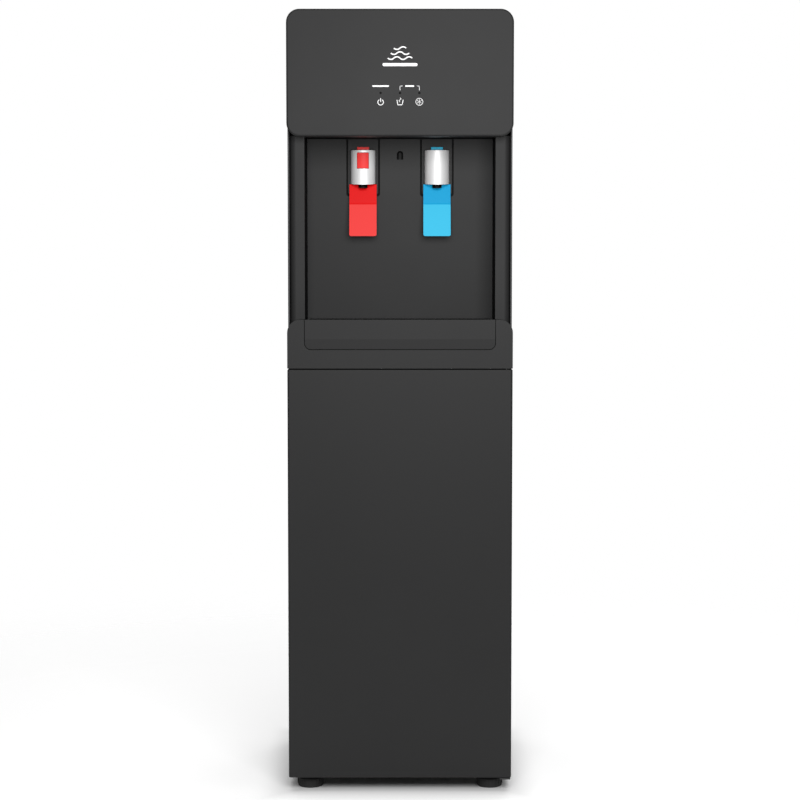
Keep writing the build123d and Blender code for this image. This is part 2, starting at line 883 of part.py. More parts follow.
# the plunger's round tip rests just off the sloping back of the paddle
paddle_slope = atan2(paddle_top_y - paddle_bend_y, paddle_upper_h)
face_offset = (paddle_top_y + paddle_t - pivot_y) * cos(paddle_slope)
face_offset += (pivot_z - paddle_top_z) * sin(paddle_slope)
tip_offset = face_offset + plunger_r + plunger_gap
tip_reach = (tip_offset - plunger_drop * sin(paddle_slope)) / cos(paddle_slope)
plunger_tip_y = pivot_y + tip_reach
plunger_travel = plunger_drop * radians(paddle_swing)

head_y0 = valve_y0 + valve_gland + 0.1
head_y1 = head_y0 + plunger_head_t
chamber_y1 = valve_y0 + valve_d - valve_back_wall
spring_y0 = head_y1 + plunger_travel + 0.2 + spring_wire_r
spring_y1 = chamber_y1 - 0.1 - spring_wire_r
valve_z0 = plunger_z - 12.5
inlet_spigot_y = valve_y0 + 14


def cover_outline(x, radius):
    """Deep half-round plan of a tap cover, in the current sketch."""
    with Locations((x, (cover_axis_y + panel_y) / 2)):
        Rectangle(2 * radius, panel_y - cover_axis_y)
    with Locations((x, cover_axis_y)):
        Circle(radius)
    with Locations((x, panel_y + radius)):
        Rectangle(4 * radius, 2 * radius, mode=Mode.SUBTRACT)


for tap, tx in (("hot", -tap_half), ("cold", tap_half)):
    with BuildPart() as bezel:
        with BuildSketch(front_plane(panel_y)) as bezel_face:
            with Locations((tx, (bezel_z0 + ceiling_z) / 2)):
                Rectangle(bezel_w, ceiling_z - bezel_z0)
            fillet(bezel_face.vertices().group_by(Axis.Y)[0], bezel_corner_r - 1)
        extrude(amount=-panel_t)
        rod_y(tx, passage_z, panel_y - overlap, panel_back + overlap, passage_r, Mode.SUBTRACT)
        rod_y(tx, plunger_z, panel_y - overlap, panel_back + overlap, plunger_r + clear_gap, Mode.SUBTRACT)
    bezel.part.label = f"{tap}_tap_bezel"
    export_step(bezel.part, f"parts/{tap}_tap_bezel.step")

    with BuildPart() as cover:
        with BuildSketch(Plane.XY.offset(cover_z0 - cover_slant)):
            cover_outline(tx, cover_r)
        extrude(amount=cover_h + cover_slant)
        fillet(cover.faces().sort_by(Axis.Z)[-1].edges().filter_by(GeomType.CIRCLE), 0.8)
        with BuildSketch(Plane.XY.offset(cover_z0 - cover_slant)):
            cover_outline(tx, cover_r - cover_wall)
        extrude(amount=cover_h + cover_slant - cover_wall, mode=Mode.SUBTRACT)
        # the lower rim dips towards the front
        with BuildSketch(side_plane(tx - 2 * cover_r)):
            with BuildLine():
                Polyline(
                    (panel_y + overlap, cover_z0),
                    (panel_y, cover_z0),
                    (panel_y - cover_out - overlap, cover_z0 - cover_slant * (cover_out + overlap) / cover_out),
                    (panel_y - cover_out - overlap, cover_z0 - 3 * cover_slant),
                    (panel_y + overlap, cover_z0 - 3 * cover_slant),
                    close=True,
                )
            make_face()
        extrude(amount=4 * cover_r, mode=Mode.SUBTRACT)
        if tap == "hot":
            block(
                tx - window_w / 2,
                tx + window_w / 2,
                panel_y - 2 * cover_out,
                panel_y - cover_out + 6,
                window_z0,
                window_z1,
                Mode.SUBTRACT,
            )
    cover.part.label = f"{tap}_tap_cover"
    export_step(cover.part, f"parts/{tap}_tap_cover.step")

    with BuildPart() as marker:
        block(
            tx - marker_w / 2,
            tx + marker_w / 2,
            panel_y - marker_out,
            panel_y,
            cover_z1 + marker_gap,
            cover_z1 + marker_gap + marker_h,
        )
        fillet(marker.faces().sort_by(Axis.Y)[0].edges(), 0.8)
    marker.part.label = f"{tap}_tap_marker"
    export_step(marker.part, f"parts/{tap}_tap_marker.step")

    with BuildPart() as spout:
        block(tx - spout_w / 2, tx + spout_w / 2, panel_y - spout_out, panel_y, spout_z0, spout_z1)
        post(tx, nozzle_y, nozzle_z0, passage_z + passage_r + overlap, nozzle_r)
        post(tx, nozzle_y, nozzle_z0 - overlap, passage_z, nozzle_bore_r, Mode.SUBTRACT)
        rod_y(tx, passage_z, nozzle_y, panel_y + overlap, passage_r, Mode.SUBTRACT)
        rod_x(pivot_y, pivot_z, tx - spout_w, tx + spout_w, pivot_pin_r, Mode.SUBTRACT)
        # pocket that guides the stem of a safety button
        block(
            tx - button_stem_w / 2 - clear_gap,
            tx + button_stem_w / 2 + clear_gap,
            panel_y - spout_out - overlap,
            button_stem_y1 + button_travel + button_end_gap,
            button_z - button_stem_w / 2 - clear_gap,
            button_z + button_stem_w / 2 + clear_gap,
            Mode.SUBTRACT,
        )
    spout.part.label = f"{tap}_spout"
    export_step(spout.part, f"parts/{tap}_spout.step")

    with BuildPart() as paddle:
        with BuildSketch(side_plane(tx)):
            with BuildLine():
                Polyline(
                    (paddle_top_y, paddle_top_z),
                    (paddle_bend_y, paddle_bend_z),
                    (paddle_toe_y, paddle_toe_z),
                    (paddle_toe_y + paddle_t, paddle_toe_z),
                    (paddle_bend_y + paddle_t, paddle_bend_z),
                    (paddle_top_y + paddle_t, paddle_top_z),
                    close=True,
                )
            make_face()
        extrude(amount=paddle_w / 2, both=True)
        toe_corners = paddle.edges().filter_by(Axis.Y).group_by(Axis.Z)[0]
        fillet(toe_corners, paddle_corner_r)
        for sx in (-1, 1):
            with BuildSketch(side_plane(tx + sx * (ear_x0 + ear_x1) / 2)):
                with Locations((pivot_y, pivot_z)):
                    Circle(ear_r)
                with BuildLine():
                    Polyline(
                        (pivot_y - ear_r + overlap, pivot_z),
                        (paddle_top_y + 0.4, paddle_top_z - 6),
                        (paddle_top_y + paddle_t, paddle_top_z - 6),
                        (pivot_y + ear_r - 1.2, pivot_z),
                        close=True,
                    )
                make_face()
            extrude(amount=ear_t / 2, both=True)
            # stiffening rib down each edge of the lower plate
            with BuildSketch(side_plane(tx + sx * (paddle_w / 2 - overlap))):
                with BuildLine():
                    Polyline(
                        (paddle_bend_y + paddle_t - 0.5, paddle_bend_z - 3),
                        (paddle_bend_y + paddle_t + 0.5, paddle_bend_z - 5),
                        (paddle_toe_y + paddle_t + 3, paddle_toe_z + 5),
                        (paddle_toe_y + paddle_t - 0.5, paddle_toe_z + 3),
                        close=True,
                    )
                make_face()
            extrude(amount=1, both=True)
        rod_x(pivot_y, pivot_z, tx - paddle_w, tx + paddle_w, pivot_pin_r + pivot_run_gap, Mode.SUBTRACT)
    paddle.part.label = f"{tap}_paddle"
    export_step(paddle.part, f"parts/{tap}_paddle.step")

    with BuildPart() as valve_body:
        block(
            tx - valve_flange_w / 2,
            tx + valve_flange_w / 2,
            valve_y0,
            valve_y0 + valve_flange_t,
            bezel_z0 - bezel_groove - 3,
            ceiling_z + liner_t,
        )
        block(tx - valve_w / 2, tx + valve_w / 2, valve_y0, valve_y0 + valve_d, valve_z0, valve_z0 + valve_h)
        post(tx, inlet_spigot_y, valve_z0 - spigot_h, valve_z0, spigot_r)
        rod_y(tx, plunger_z, valve_y0 - overlap, chamber_y1, plunger_r + guide_gap, Mode.SUBTRACT)
        rod_y(tx, plunger_z, valve_y0 + valve_gland, chamber_y1, valve_chamber_r, Mode.SUBTRACT)
        rod_y(tx, passage_z, valve_y0 - overlap, valve_y0 + 10, passage_r, Mode.SUBTRACT)
        post(tx, valve_y0 + 8, plunger_z, passage_z, passage_r, Mode.SUBTRACT)
        post(tx, inlet_spigot_y, valve_z0 - spigot_h - overlap, plunger_z, passage_r, Mode.SUBTRACT)
    valve_body.part.label = f"{tap}_valve_body"
    export_step(valve_body.part, f"parts/{tap}_valve_body.step")

    with BuildPart() as plunger:
        rod_y(tx, plunger_z, plunger_tip_y, head_y0, plunger_r)
        with Locations((tx, plunger_tip_y, plunger_z)):
            Sphere(plunger_r)
        rod_y(tx, plunger_z, head_y0, head_y1, plunger_head_r)
        rod_y(tx, plunger_z, head_y1, head_y1 + plunger_tail_len, plunger_tail_r)
    plunger.part.label = f"{tap}_plunger"
    export_step(plunger.part, f"parts/{tap}_plunger.step")

with BuildPart() as hot_safety_button:
    with BuildSketch(Plane.XY.offset(window_z0 + button_gap)):
        cover_outline(-tap_half, cover_r)
        with Locations((-tap_half, button_y + cover_out)):
            Rectangle(4 * cover_r, 2 * cover_out, mode=Mode.SUBTRACT)
        with Locations((-tap_half, panel_y - cover_out)):
            Rectangle(window_w - 2 * button_gap, 4 * cover_out, mode=Mode.INTERSECT)
    extrude(amount=window_h - 2 * button_gap)
    block(
        -tap_half - button_stem_w / 2,
        -tap_half + button_stem_w / 2,
        button_y,
        button_stem_y1,
        button_z - button_stem_w / 2,
        button_z + button_stem_w / 2,
    )
hot_safety_button.part.label = "hot_safety_button"
export_step(hot_safety_button.part, "parts/hot_safety_button.step")

pin_half = ear_x1 + pin_overhang
with BuildPart() as paddle_pins:
    for tx in (-tap_half, tap_half):
        rod_x(pivot_y, pivot_z, tx - pin_half, tx + pin_half, pivot_pin_r)
paddle_pins.part.label = "paddle_pins"
export_step(paddle_pins.part, "parts/paddle_pins.step")

spring_len = spring_y1 - spring_y0
with BuildPart() as valve_springs:
    for tx in (-tap_half, tap_half):
        spring_frame = Plane(origin=(tx, spring_y0, plunger_z), x_dir=(1, 0, 0), z_dir=(0, 1, 0))
        coil = spring_frame * Helix(spring_len / spring_turns, spring_len, spring_r)
        with BuildSketch(Plane(origin=coil @ 0, z_dir=coil % 0)):
            Circle(spring_wire_r)
        sweep(path=coil, is_frenet=True)
valve_springs.part.label = "valve_springs"
export_step(valve_springs.part, "parts/valve_springs.step")

# ---------------------------------------------------------------- filters
socket_z1 = manifold_z0 + socket_depth
cartridge_z1 = manifold_z0 - filter_top_gap
lug_z0 = socket_z1 - lug_head_gap - lug_h
ledge_z1 = lug_z0 - lug_rest_gap


def bayonet_sector(x, z0, height, r_in, r_out, mode=Mode.ADD):
    """Two opposite ring sectors round a filter axis."""
    for turn in (0, 180):
        with BuildSketch(Plane(origin=(x, filter_y, z0)).rotated((0, 0, turn))) as sector:
            with BuildLine():
                outer = CenterArc((0, 0), r_out, -lug_arc / 2, lug_arc)
                inner = CenterArc((0, 0), r_in, -lug_arc / 2, lug_arc)
                Line(outer @ 0, inner @ 0)
                Line(outer @ 1, inner @ 1)
            make_face()
        extrude(sector.sketch, amount=height, mode=mode)


with BuildPart() as filter_manifold:
    with Locations((0, bulkhead_y - manifold_plate_t / 2, (manifold_z0 + manifold_z1) / 2)):
        Box(manifold_w, manifold_plate_t, manifold_h)
    for sx in (-1, 1):
        post(sx * filter_x, filter_y, manifold_z0, manifold_z1, head_r)
        block(
            sx * filter_x - gusset_w / 2,
            sx * filter_x + gusset_w / 2,
            filter_y,
            bulkhead_y - manifold_plate_t,
            manifold_z0 + gusset_rise,
            manifold_z1,
        )
    # channel block that joins the two heads
    block(
        -filter_x,
        filter_x,
        filter_y - manifold_channel_w / 2,
        filter_y + manifold_channel_w / 2,
        manifold_z1 - manifold_channel_h,
        manifold_z1,
    )
    for sx in (-1, 1):
        post(sx * filter_x, filter_y, manifold_z0 - overlap, socket_z1, socket_r, Mode.SUBTRACT)
        neck_z1 = socket_z1 + neck_h + overlap
        post(sx * filter_x, filter_y, socket_z1 - overlap, neck_z1, neck_r + neck_fit, Mode.SUBTRACT)
        bayonet_sector(sx * filter_x, ledge_z1 - ledge_h, ledge_h, collar_r + overlap, socket_r + overlap)
filter_manifold.part.label = "filter_manifold"
export_step(filter_manifold.part, "parts/filter_manifold.step")

for side, sx in (("left", -1), ("right", 1)):
    with BuildPart() as cartridge:
        post(sx * filter_x, filter_y, cartridge_z1 - filter_h, cartridge_z1, filter_r)
        fillet(cartridge.edges().filter_by(GeomType.CIRCLE).sort_by(Axis.Z)[0], cartridge_foot_r)
        fillet(cartridge.edges().filter_by(GeomType.CIRCLE).sort_by(Axis.Z)[-1], cartridge_edge_r)
        post(sx * filter_x, filter_y, cartridge_z1, socket_z1 - overlap, collar_r)
        post(sx * filter_x, filter_y, socket_z1 - overlap, socket_z1 + neck_h, neck_r)
        bayonet_sector(sx * filter_x, lug_z0, lug_h, collar_r - lug_root, lug_r)
        # grip ribs round the foot of the housing
        with Locations((sx * filter_x, filter_y, cartridge_z1 - filter_h + grip_rib_rise)):
            with PolarLocations(filter_r, grip_ribs):
                Cylinder(grip_rib_r, grip_rib_len)
    cartridge.part.label = f"filter_cartridge_{side}"
    export_step(cartridge.part, f"parts/filter_cartridge_{side}.step")

# ---------------------------------------------------------------- cold tank
cold_z1 = cold_z0 + cold_tank_h
lid_z1 = cold_z1 + lid_h
feed_y = tank_y + cold_tank_r * 0.43
cold_out_y = tank_y - cold_tank_r * 0.5
fill_x = -cold_tank_r * 0.57
arm_z = cold_z1 - arm_below_rim
arm_y = tank_y + arm_setback
arm_x = -cold_tank_r + arm_inset

with BuildPart() as cold_tank_bracket:
    block(-inner_half, inner_half, tank_y - cold_tank_r - bracket_front, flange_y, cold_z0 - sheet_t, cold_z0)
    for sx in (-1, 1):
        block(
            sx * inner_half - (sheet_t if sx > 0 else 0),
            sx * inner_half + (0 if sx > 0 else sheet_t),
            tank_y - cold_tank_r - bracket_front,
            flange_y,
            cold_z0 - bracket_lip_h,
            cold_z0 - sheet_t,
        )
    post(tap_half, cold_out_y, cold_z0 - pierce, cold_z0 + overlap, spigot_r + tube_clear, Mode.SUBTRACT)
    post(0, feed_y, cold_z0 - pierce, cold_z0 + overlap, spigot_r + tube_clear, Mode.SUBTRACT)
    post(-port_x, riser_y, cold_z0 - pierce, cold_z0 + overlap, tube_r + tube_clear, Mode.SUBTRACT)
cold_tank_bracket.part.label = "cold_tank_bracket"
export_step(cold_tank_bracket.part, "parts/cold_tank_bracket.step")

with BuildPart() as cold_tank:
    post(0, tank_y, cold_z0, cold_z1, cold_tank_r)
    post(tap_half, cold_out_y, cold_z0 - spigot_h, cold_z0 + overlap, spigot_r)
    post(0, feed_y, cold_z0 - spigot_h, cold_z0 + overlap, spigot_r)
    post(0, tank_y, cold_z0 + cold_tank_wall, cold_z1 + overlap, cold_tank_r - cold_tank_wall, Mode.SUBTRACT)
    for x, y in ((tap_half, cold_out_y), (0, feed_y)):
        post(x, y, cold_z0 - spigot_h - overlap, cold_z0 + pierce, passage_r, Mode.SUBTRACT)
cold_tank.part.label = "cold_tank"
export_step(cold_tank.part, "parts/cold_tank.step")

skirt_r = cold_tank_r - cold_tank_wall - lid_skirt_gap
with BuildPart() as cold_tank_lid:
    post(0, tank_y, cold_z1, lid_z1, cold_tank_r + lid_over)
    fillet(cold_tank_lid.edges().filter_by(GeomType.CIRCLE).sort_by(Axis.Z)[-1], lid_edge_r)
    post(0, tank_y, cold_z1 - lid_skirt_h, cold_z1, skirt_r)
    lid_space_z0 = cold_z1 - lid_skirt_h - overlap
    post(0, tank_y, lid_space_z0, lid_z1 - lid_wall, skirt_r - lid_wall, Mode.SUBTRACT)
    post(fill_x, tank_y, lid_z1 - fill_boss_h, lid_z1 + spigot_h, spigot_r)
    # valve stem and the two ears that hold the float arm
    block(
        arm_x - stem_half,
        arm_x + stem_half,
        arm_y - stem_reach,
        arm_y + stem_reach,
        arm_z + ear_rise,
        lid_z1 - lid_wall,
    )
    for sy in (-1, 1):
        ear_y = arm_y + sy * ear_offset
        block(
            arm_x - ear_half,
            arm_x + ear_half,
            ear_y - ear_plate_t / 2,
            ear_y + ear_plate_t / 2,
            arm_z - ear_drop,
            arm_z + ear_rise,
        )
    pin_hole_half = stem_reach + overlap
    pin_hole_r = float_pin_r + pivot_run_gap
    rod_y(arm_x, arm_z, arm_y - pin_hole_half, arm_y + pin_hole_half, pin_hole_r, Mode.SUBTRACT)
    post(fill_x, tank_y, cold_z1, lid_z1 + spigot_h + overlap, passage_r, Mode.SUBTRACT)
cold_tank_lid.part.label = "cold_tank_lid"
export_step(cold_tank_lid.part, "parts/cold_tank_lid.step")

arm_drop = radians(float_swing)
ball_x = arm_x + float_arm_len * cos(arm_drop)
ball_z = arm_z - float_arm_len * sin(arm_drop)
with BuildPart() as float_arm:
    rod_y(arm_x, arm_z, arm_y - stem_reach, arm_y + stem_reach, float_pin_r)
    rod_y(arm_x, arm_z, arm_y - float_hub_half, arm_y + float_hub_half, float_hub_r)
    with BuildSketch(Plane.XZ.offset(-arm_y)):
        with BuildLine():
            Polyline(
                (arm_x, arm_z + float_bar_t / 2),
                (ball_x, ball_z + float_bar_t / 2),
                (ball_x, ball_z - float_bar_t / 2),
                (arm_x, arm_z - float_bar_t / 2),
                close=True,
            )
        make_face()
    extrude(amount=float_bar_t / 2, both=True)
    with Locations((ball_x, arm_y, ball_z)):
        Sphere(float_ball_r)
float_arm.part.label = "float_arm"
export_step(float_arm.part, "parts/float_arm.step")

coil_r = cold_tank_r + coil_tube_r + clear_gap
with BuildPart() as evaporator_coil:
    coil_base = Plane(origin=(0, tank_y, cold_z0 + coil_lift))
    winding = coil_base * Helix(coil_pitch, coil_pitch * coil_turns, coil_r)
    with BuildSketch(Plane(origin=winding @ 0, z_dir=winding % 0)):
        Circle(coil_tube_r)
    sweep(path=winding, is_frenet=True)
evaporator_coil.part.label = "evaporator_coil"
export_step(evaporator_coil.part, "parts/evaporator_coil.step")

# ---------------------------------------------------------------- hot tank
hot_z1 = hot_z0 + hot_tank_h
hot_out_x = -hot_tank_r * 0.48
hot_out_y = tank_y - hot_tank_r * 0.48

with BuildPart() as hot_tank_space:
    post(0, tank_y, hot_z0 + hot_tank_wall, hot_z1 - hot_tank_wall, hot_tank_r - hot_tank_wall)
    fillet(hot_tank_space.edges().filter_by(GeomType.CIRCLE), tank_edge_r - hot_tank_wall)

with BuildPart() as hot_tank:
    post(0, tank_y, hot_z0, hot_z1, hot_tank_r)
    fillet(hot_tank.edges().filter_by(GeomType.CIRCLE), tank_edge_r)
    for x, y in ((0, feed_y), (hot_out_x, hot_out_y)):
        post(x, y, hot_z1 - 2, hot_z1 + spigot_h, spigot_r)
    post(0, tank_y, hot_z0 - spigot_h, hot_z0 + 2, spigot_r)
    with Locations((0, tank_y, shelf_z + hot_leg_h / 2 + overlap)):
        with PolarLocations(hot_tank_r * 0.65, 3):
            Cylinder(leg_r, hot_leg_h + 2)
    add(hot_tank_space.part, mode=Mode.SUBTRACT)
    for x, y in ((0, feed_y), (hot_out_x, hot_out_y)):
        post(x, y, hot_z1 - 4, hot_z1 + spigot_h + overlap, passage_r, Mode.SUBTRACT)
    post(0, tank_y, hot_z0 - spigot_h - overlap, hot_z0 + 4, passage_r, Mode.SUBTRACT)
hot_tank.part.label = "hot_tank"
export_step(hot_tank.part, "parts/hot_tank.step")

# ---------------------------------------------------------------- water tubes
inlet_tube_y = rear_y - inlet_body_len
drain_end = rear_y + drain_out
tube_runs = [
    # mains inlet to the first filter
    [
        (inlet_x, inlet_tube_y, inlet_z),
        (inlet_x, riser_y, inlet_z),
        (inlet_x, riser_y, port_z),
        (port_x, bulkhead_y, port_z),
    ],
    # last filter up to the cold tank's float valve
    [
        (-port_x, bulkhead_y, port_z),
        (-port_x, riser_y, port_z),
        (-port_x, riser_y, lid_z1 + loop_h),
        (fill_x, tank_y, lid_z1 + loop_h),
        (fill_x, tank_y, lid_z1 + spigot_h),
    ],
    # cold tank to the cold valve
    [
        (tap_half, cold_out_y, cold_z0 - spigot_h),
        (tap_half, cold_out_y, cold_z0 - spigot_h - tube_turn_h),
        (tap_half, inlet_spigot_y, cold_z0 - spigot_h - tube_turn_h),
        (tap_half, inlet_spigot_y, valve_z0 - spigot_h),
    ],
    # hot tank to the hot valve
    [
        (hot_out_x, hot_out_y, hot_z1 + spigot_h),
        (hot_out_x, hot_out_y, hot_z1 + spigot_h + tube_turn_h),
        (-tap_half, inlet_spigot_y, hot_z1 + spigot_h + tube_turn_h),
        (-tap_half, inlet_spigot_y, valve_z0 - spigot_h),
    ],
    # hot tank down and out to the drain
    [(0, tank_y, hot_z0 - spigot_h), (0, tank_y, drain_z), (0, drain_end, drain_z)],
    # cold tank feeds the hot tank
    [(0, feed_y, cold_z0 - spigot_h), (0, feed_y, hot_z1 + spigot_h)],
]

with BuildPart() as water_tubes:
    for run in tube_runs:
        with BuildLine(mode=Mode.PRIVATE) as route:
            if len(run) > 2:
                FilletPolyline(*run, radius=tube_bend_r)
            else:
                Line(*run)
        path = route.wires()[0]
        with BuildSketch(Plane(origin=path @ 0, z_dir=path % 0)):
            Circle(tube_r)
        sweep(path=path)
water_tubes.part.label = "water_tubes"
export_step(water_tubes.part, "parts/water_tubes.step")

# ---------------------------------------------------------------- refrigeration
plate_z0 = pan_z1 + grommet_h
shell_z0 = plate_z0 + compressor_plate_t
with BuildPart() as compressor_mounts:
    with Locations((0, tank_y, pan_z1 + grommet_h / 2)):
        with GridLocations(2 * grommet_x, 2 * grommet_y, 2, 2):
            Cylinder(grommet_r, grommet_h)
compressor_mounts.part.label = "compressor_mounts"
export_step(compressor_mounts.part, "parts/compressor_mounts.step")

with BuildPart() as compressor:
    post(0, tank_y, shell_z0, shell_z0 + compressor_h, compressor_r)
    rims = compressor.edges().filter_by(GeomType.CIRCLE).sort_by(Axis.Z)
    fillet(rims[-1], compressor_top_r)
    fillet(rims[0], compressor_foot_r)
    with BuildSketch(Plane.XY.offset(plate_z0)):
        with Locations((0, tank_y)):
            RectangleRounded(2 * grommet_x + 2 * grommet_r, 2 * grommet_y + 2 * grommet_r, grommet_r)
    extrude(amount=compressor_plate_t)
    # welded seam round the shell and the terminal cover on its side
    weld_z = shell_z0 + compressor_h * 0.45
    post(0, tank_y, weld_z, weld_z + weld_h, compressor_r + weld_out)
    # room for the motor inside the welded shell
    motor_z1 = shell_z0 + compressor_h - motor_top_gap
    post(0, tank_y, shell_z0 + motor_foot_gap, motor_z1, compressor_r - motor_side_gap, Mode.SUBTRACT)
    with Locations((compressor_r + terminal_out / 2 - 3, tank_y, shell_z0 + terminal_lift)):
        Box(terminal_out + 6, terminal_w, terminal_h)
compressor.part.label = "compressor"
export_step(compressor.part, "parts/compressor.step")

wire_y = back_y - condenser_wire_r
run_y = wire_y - condenser_wire_r - wire_gap - condenser_tube_r
run_z0 = bay_top + condenser_lift
run_half = condenser_w / 2
bend = condenser_pitch / 2
# as many hairpins as fit below the switch plate, so that both ends come down on their own side
run_space = switch_z - switch_plate_h / 2 - condenser_top_gap - run_z0
hairpins = int(run_space / (2 * condenser_pitch))
run_z1 = run_z0 + 2 * hairpins * condenser_pitch
line_z = pan_z1 + line_lift
return_x = run_half + return_out
drier_y = tank_y + drier_setback
drier_z1 = pan_z1 + drier_lift + drier_h

# hot gas line from the compressor shell to the lowest run
coil_points = [
    (-compressor_r - line_gap, tank_y, line_z),
    (-run_half, tank_y, line_z),
    (-run_half, run_y, line_z),
]
for i in range(2 * hairpins):
    z = run_z0 + i * condenser_pitch
    ends = [(-run_half, run_y, z), (run_half, run_y, z)]
    coil_points += ends if i % 2 == 0 else ends[::-1]
# the top run comes back down beside the hairpins to the drier in the machine bay
coil_points += [
    (-run_half, run_y, run_z1),
    (return_x, run_y, run_z1),
    (return_x, run_y, drier_z1 + condenser_pitch),
    (return_x, drier_y, drier_z1 + condenser_pitch),
    (return_x, drier_y, drier_z1),
]

with BuildPart() as condenser:
    with BuildLine(mode=Mode.PRIVATE) as serpentine:
        FilletPolyline(*coil_points, radius=bend * 0.96)
    path = serpentine.wires()[0]
    with BuildSketch(Plane(origin=path @ 0, z_dir=path % 0)):
        Circle(condenser_tube_r)
    sweep(path=path)
    post(return_x, drier_y, drier_z1 - drier_h, drier_z1, drier_r)
    # four standoffs hold it clear of the rear panel
    for sx in (-1, 1):
        for z in (run_z0, run_z1):
            block(sx * (run_half - 40) - 4, sx * (run_half - 40) + 4, rear_y, run_y, z - 6, z + 6)
    # upright wires welded to the back of the tube
    with Locations((0, wire_y, (run_z0 + run_z1) / 2)):
        with GridLocations((condenser_w - 2 * bend - 8) / (condenser_wires - 1), 1, condenser_wires, 1):
            Cylinder(condenser_wire_r, run_z1 - run_z0 + 12)
condenser.part.label = "condenser"
export_step(condenser.part, "parts/condenser.step")

# ---------------------------------------------------------------- rear fittings
with BuildPart() as water_inlet:
    rod_y(inlet_x, inlet_z, inlet_tube_y, rear_y, inlet_body_r)
    rod_y(inlet_x, inlet_z, rear_y, rear_y + inlet_flange_t, inlet_flange_r)
    rod_y(inlet_x, inlet_z, rear_y + inlet_flange_t, rear_y + inlet_nose_len, inlet_nose_r)
    fillet(water_inlet.edges().filter_by(GeomType.CIRCLE).sort_by(Axis.Y)[-1], 1.2)
    rod_y(inlet_x, inlet_z, inlet_tube_y - overlap, rear_y, passage_r, Mode.SUBTRACT)
    bore_y0 = rear_y + inlet_nose_len - inlet_bore_len
    rod_y(inlet_x, inlet_z, bore_y0, rear_y + inlet_nose_len + overlap, inlet_bore_r, Mode.SUBTRACT)
water_inlet.part.label = "water_inlet"
export_step(water_inlet.part, "parts/water_inlet.step")

with BuildPart() as cord_gland:
    rod_y(gland_x, gland_z, rear_y - gland_len, rear_y, gland_body_r)
    with BuildSketch(front_plane(rear_y)):
        with Locations((gland_x, gland_z)):
            RegularPolygon(gland_nut_af / 2, 6, major_radius=False)
    extrude(amount=-gland_len)
    bore_half = gland_len + overlap
    rod_y(gland_x, gland_z, rear_y - bore_half, rear_y + bore_half, gland_bore_r, Mode.SUBTRACT)
cord_gland.part.label = "cord_gland"
export_step(cord_gland.part, "parts/cord_gland.step")

with BuildPart() as drain_cap:
    cap_y0 = rear_y + drain_cap_gap
    rod_y(0, drain_z, cap_y0, cap_y0 + drain_cap_len, drain_cap_r)
    with Locations(Location((0, cap_y0 + drain_cap_len / 2, drain_z), (90, 0, 0))):
        with PolarLocations(drain_cap_r, 12):
            Cylinder(drain_rib_r, drain_cap_len)
    rod_y(0, drain_z, rear_y, drain_end + clear_gap, tube_r + clear_gap, Mode.SUBTRACT)
drain_cap.part.label = "drain_cap"
export_step(drain_cap.part, "parts/drain_cap.step")

rocker_y = rear_y + switch_plate_t - rocker_inset - rocker_pin_depth
rocker_places = [("hot", -1), ("light", 0), ("cold", 1)]
opening_w = rocker_w + 2 * rocker_gap
opening_h = rocker_h + 2 * rocker_end_gap
with BuildPart() as switch_plate:
    block(
        switch_x - switch_plate_w / 2,
        switch_x + switch_plate_w / 2,
        rear_y,
        rear_y + switch_plate_t,
        switch_z - switch_plate_h / 2,
        switch_z + switch_plate_h / 2,
    )
    fillet(switch_plate.edges().filter_by(Axis.Y), 3)
    for _, i in rocker_places:
        x = switch_x + i * switch_pitch
        block(
            x - opening_w / 2 - rocker_well_wall,
            x + opening_w / 2 + rocker_well_wall,
            rear_y - rocker_well_d - rocker_well_wall,
            rear_y,
            switch_z - opening_h / 2 - rocker_well_wall,
            switch_z + opening_h / 2 + rocker_well_wall,
        )
        block(
            x - opening_w / 2,
            x + opening_w / 2,
            rear_y - rocker_well_d,
            rear_y + switch_plate_t + overlap,
            switch_z - opening_h / 2,
            switch_z + opening_h / 2,
            Mode.SUBTRACT,
        )
        pin_seat = opening_w / 2 + overlap
        rod_x(rocker_y, switch_z, x - pin_seat, x + pin_seat, rocker_pin_r + pivot_run_gap, Mode.SUBTRACT)
switch_plate.part.label = "switch_plate"
export_step(switch_plate.part, "parts/switch_plate.step")

for name, i in rocker_places:
    x = switch_x + i * switch_pitch
    with BuildPart() as rocker:
        rocker_plane = Plane((x, rocker_y, switch_z), x_dir=(0, 1, 0), z_dir=(1, 0, 0))
        with BuildSketch(rocker_plane.rotated((-rocker_tilt, 0, 0))):
            with BuildLine():
                Polyline(
                    (-rocker_back, -rocker_h / 2 + 2),
                    (rocker_front, -rocker_h / 2),
                    (rocker_front - rocker_dish, 0),
                    (rocker_front, rocker_h / 2),
                    (-rocker_back, rocker_h / 2 - 2),
                    close=True,
                )
            make_face()
        extrude(amount=rocker_w / 2, both=True)
        pin_end = opening_w / 2 + 0.8
        rod_x(rocker_y, switch_z, x - pin_end, x + pin_end, rocker_pin_r)
    rocker.part.label = f"{name}_rocker"
    export_step(rocker.part, f"parts/{name}_rocker.step")
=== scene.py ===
from math import atan2, cos, hypot, pi, radians, sin

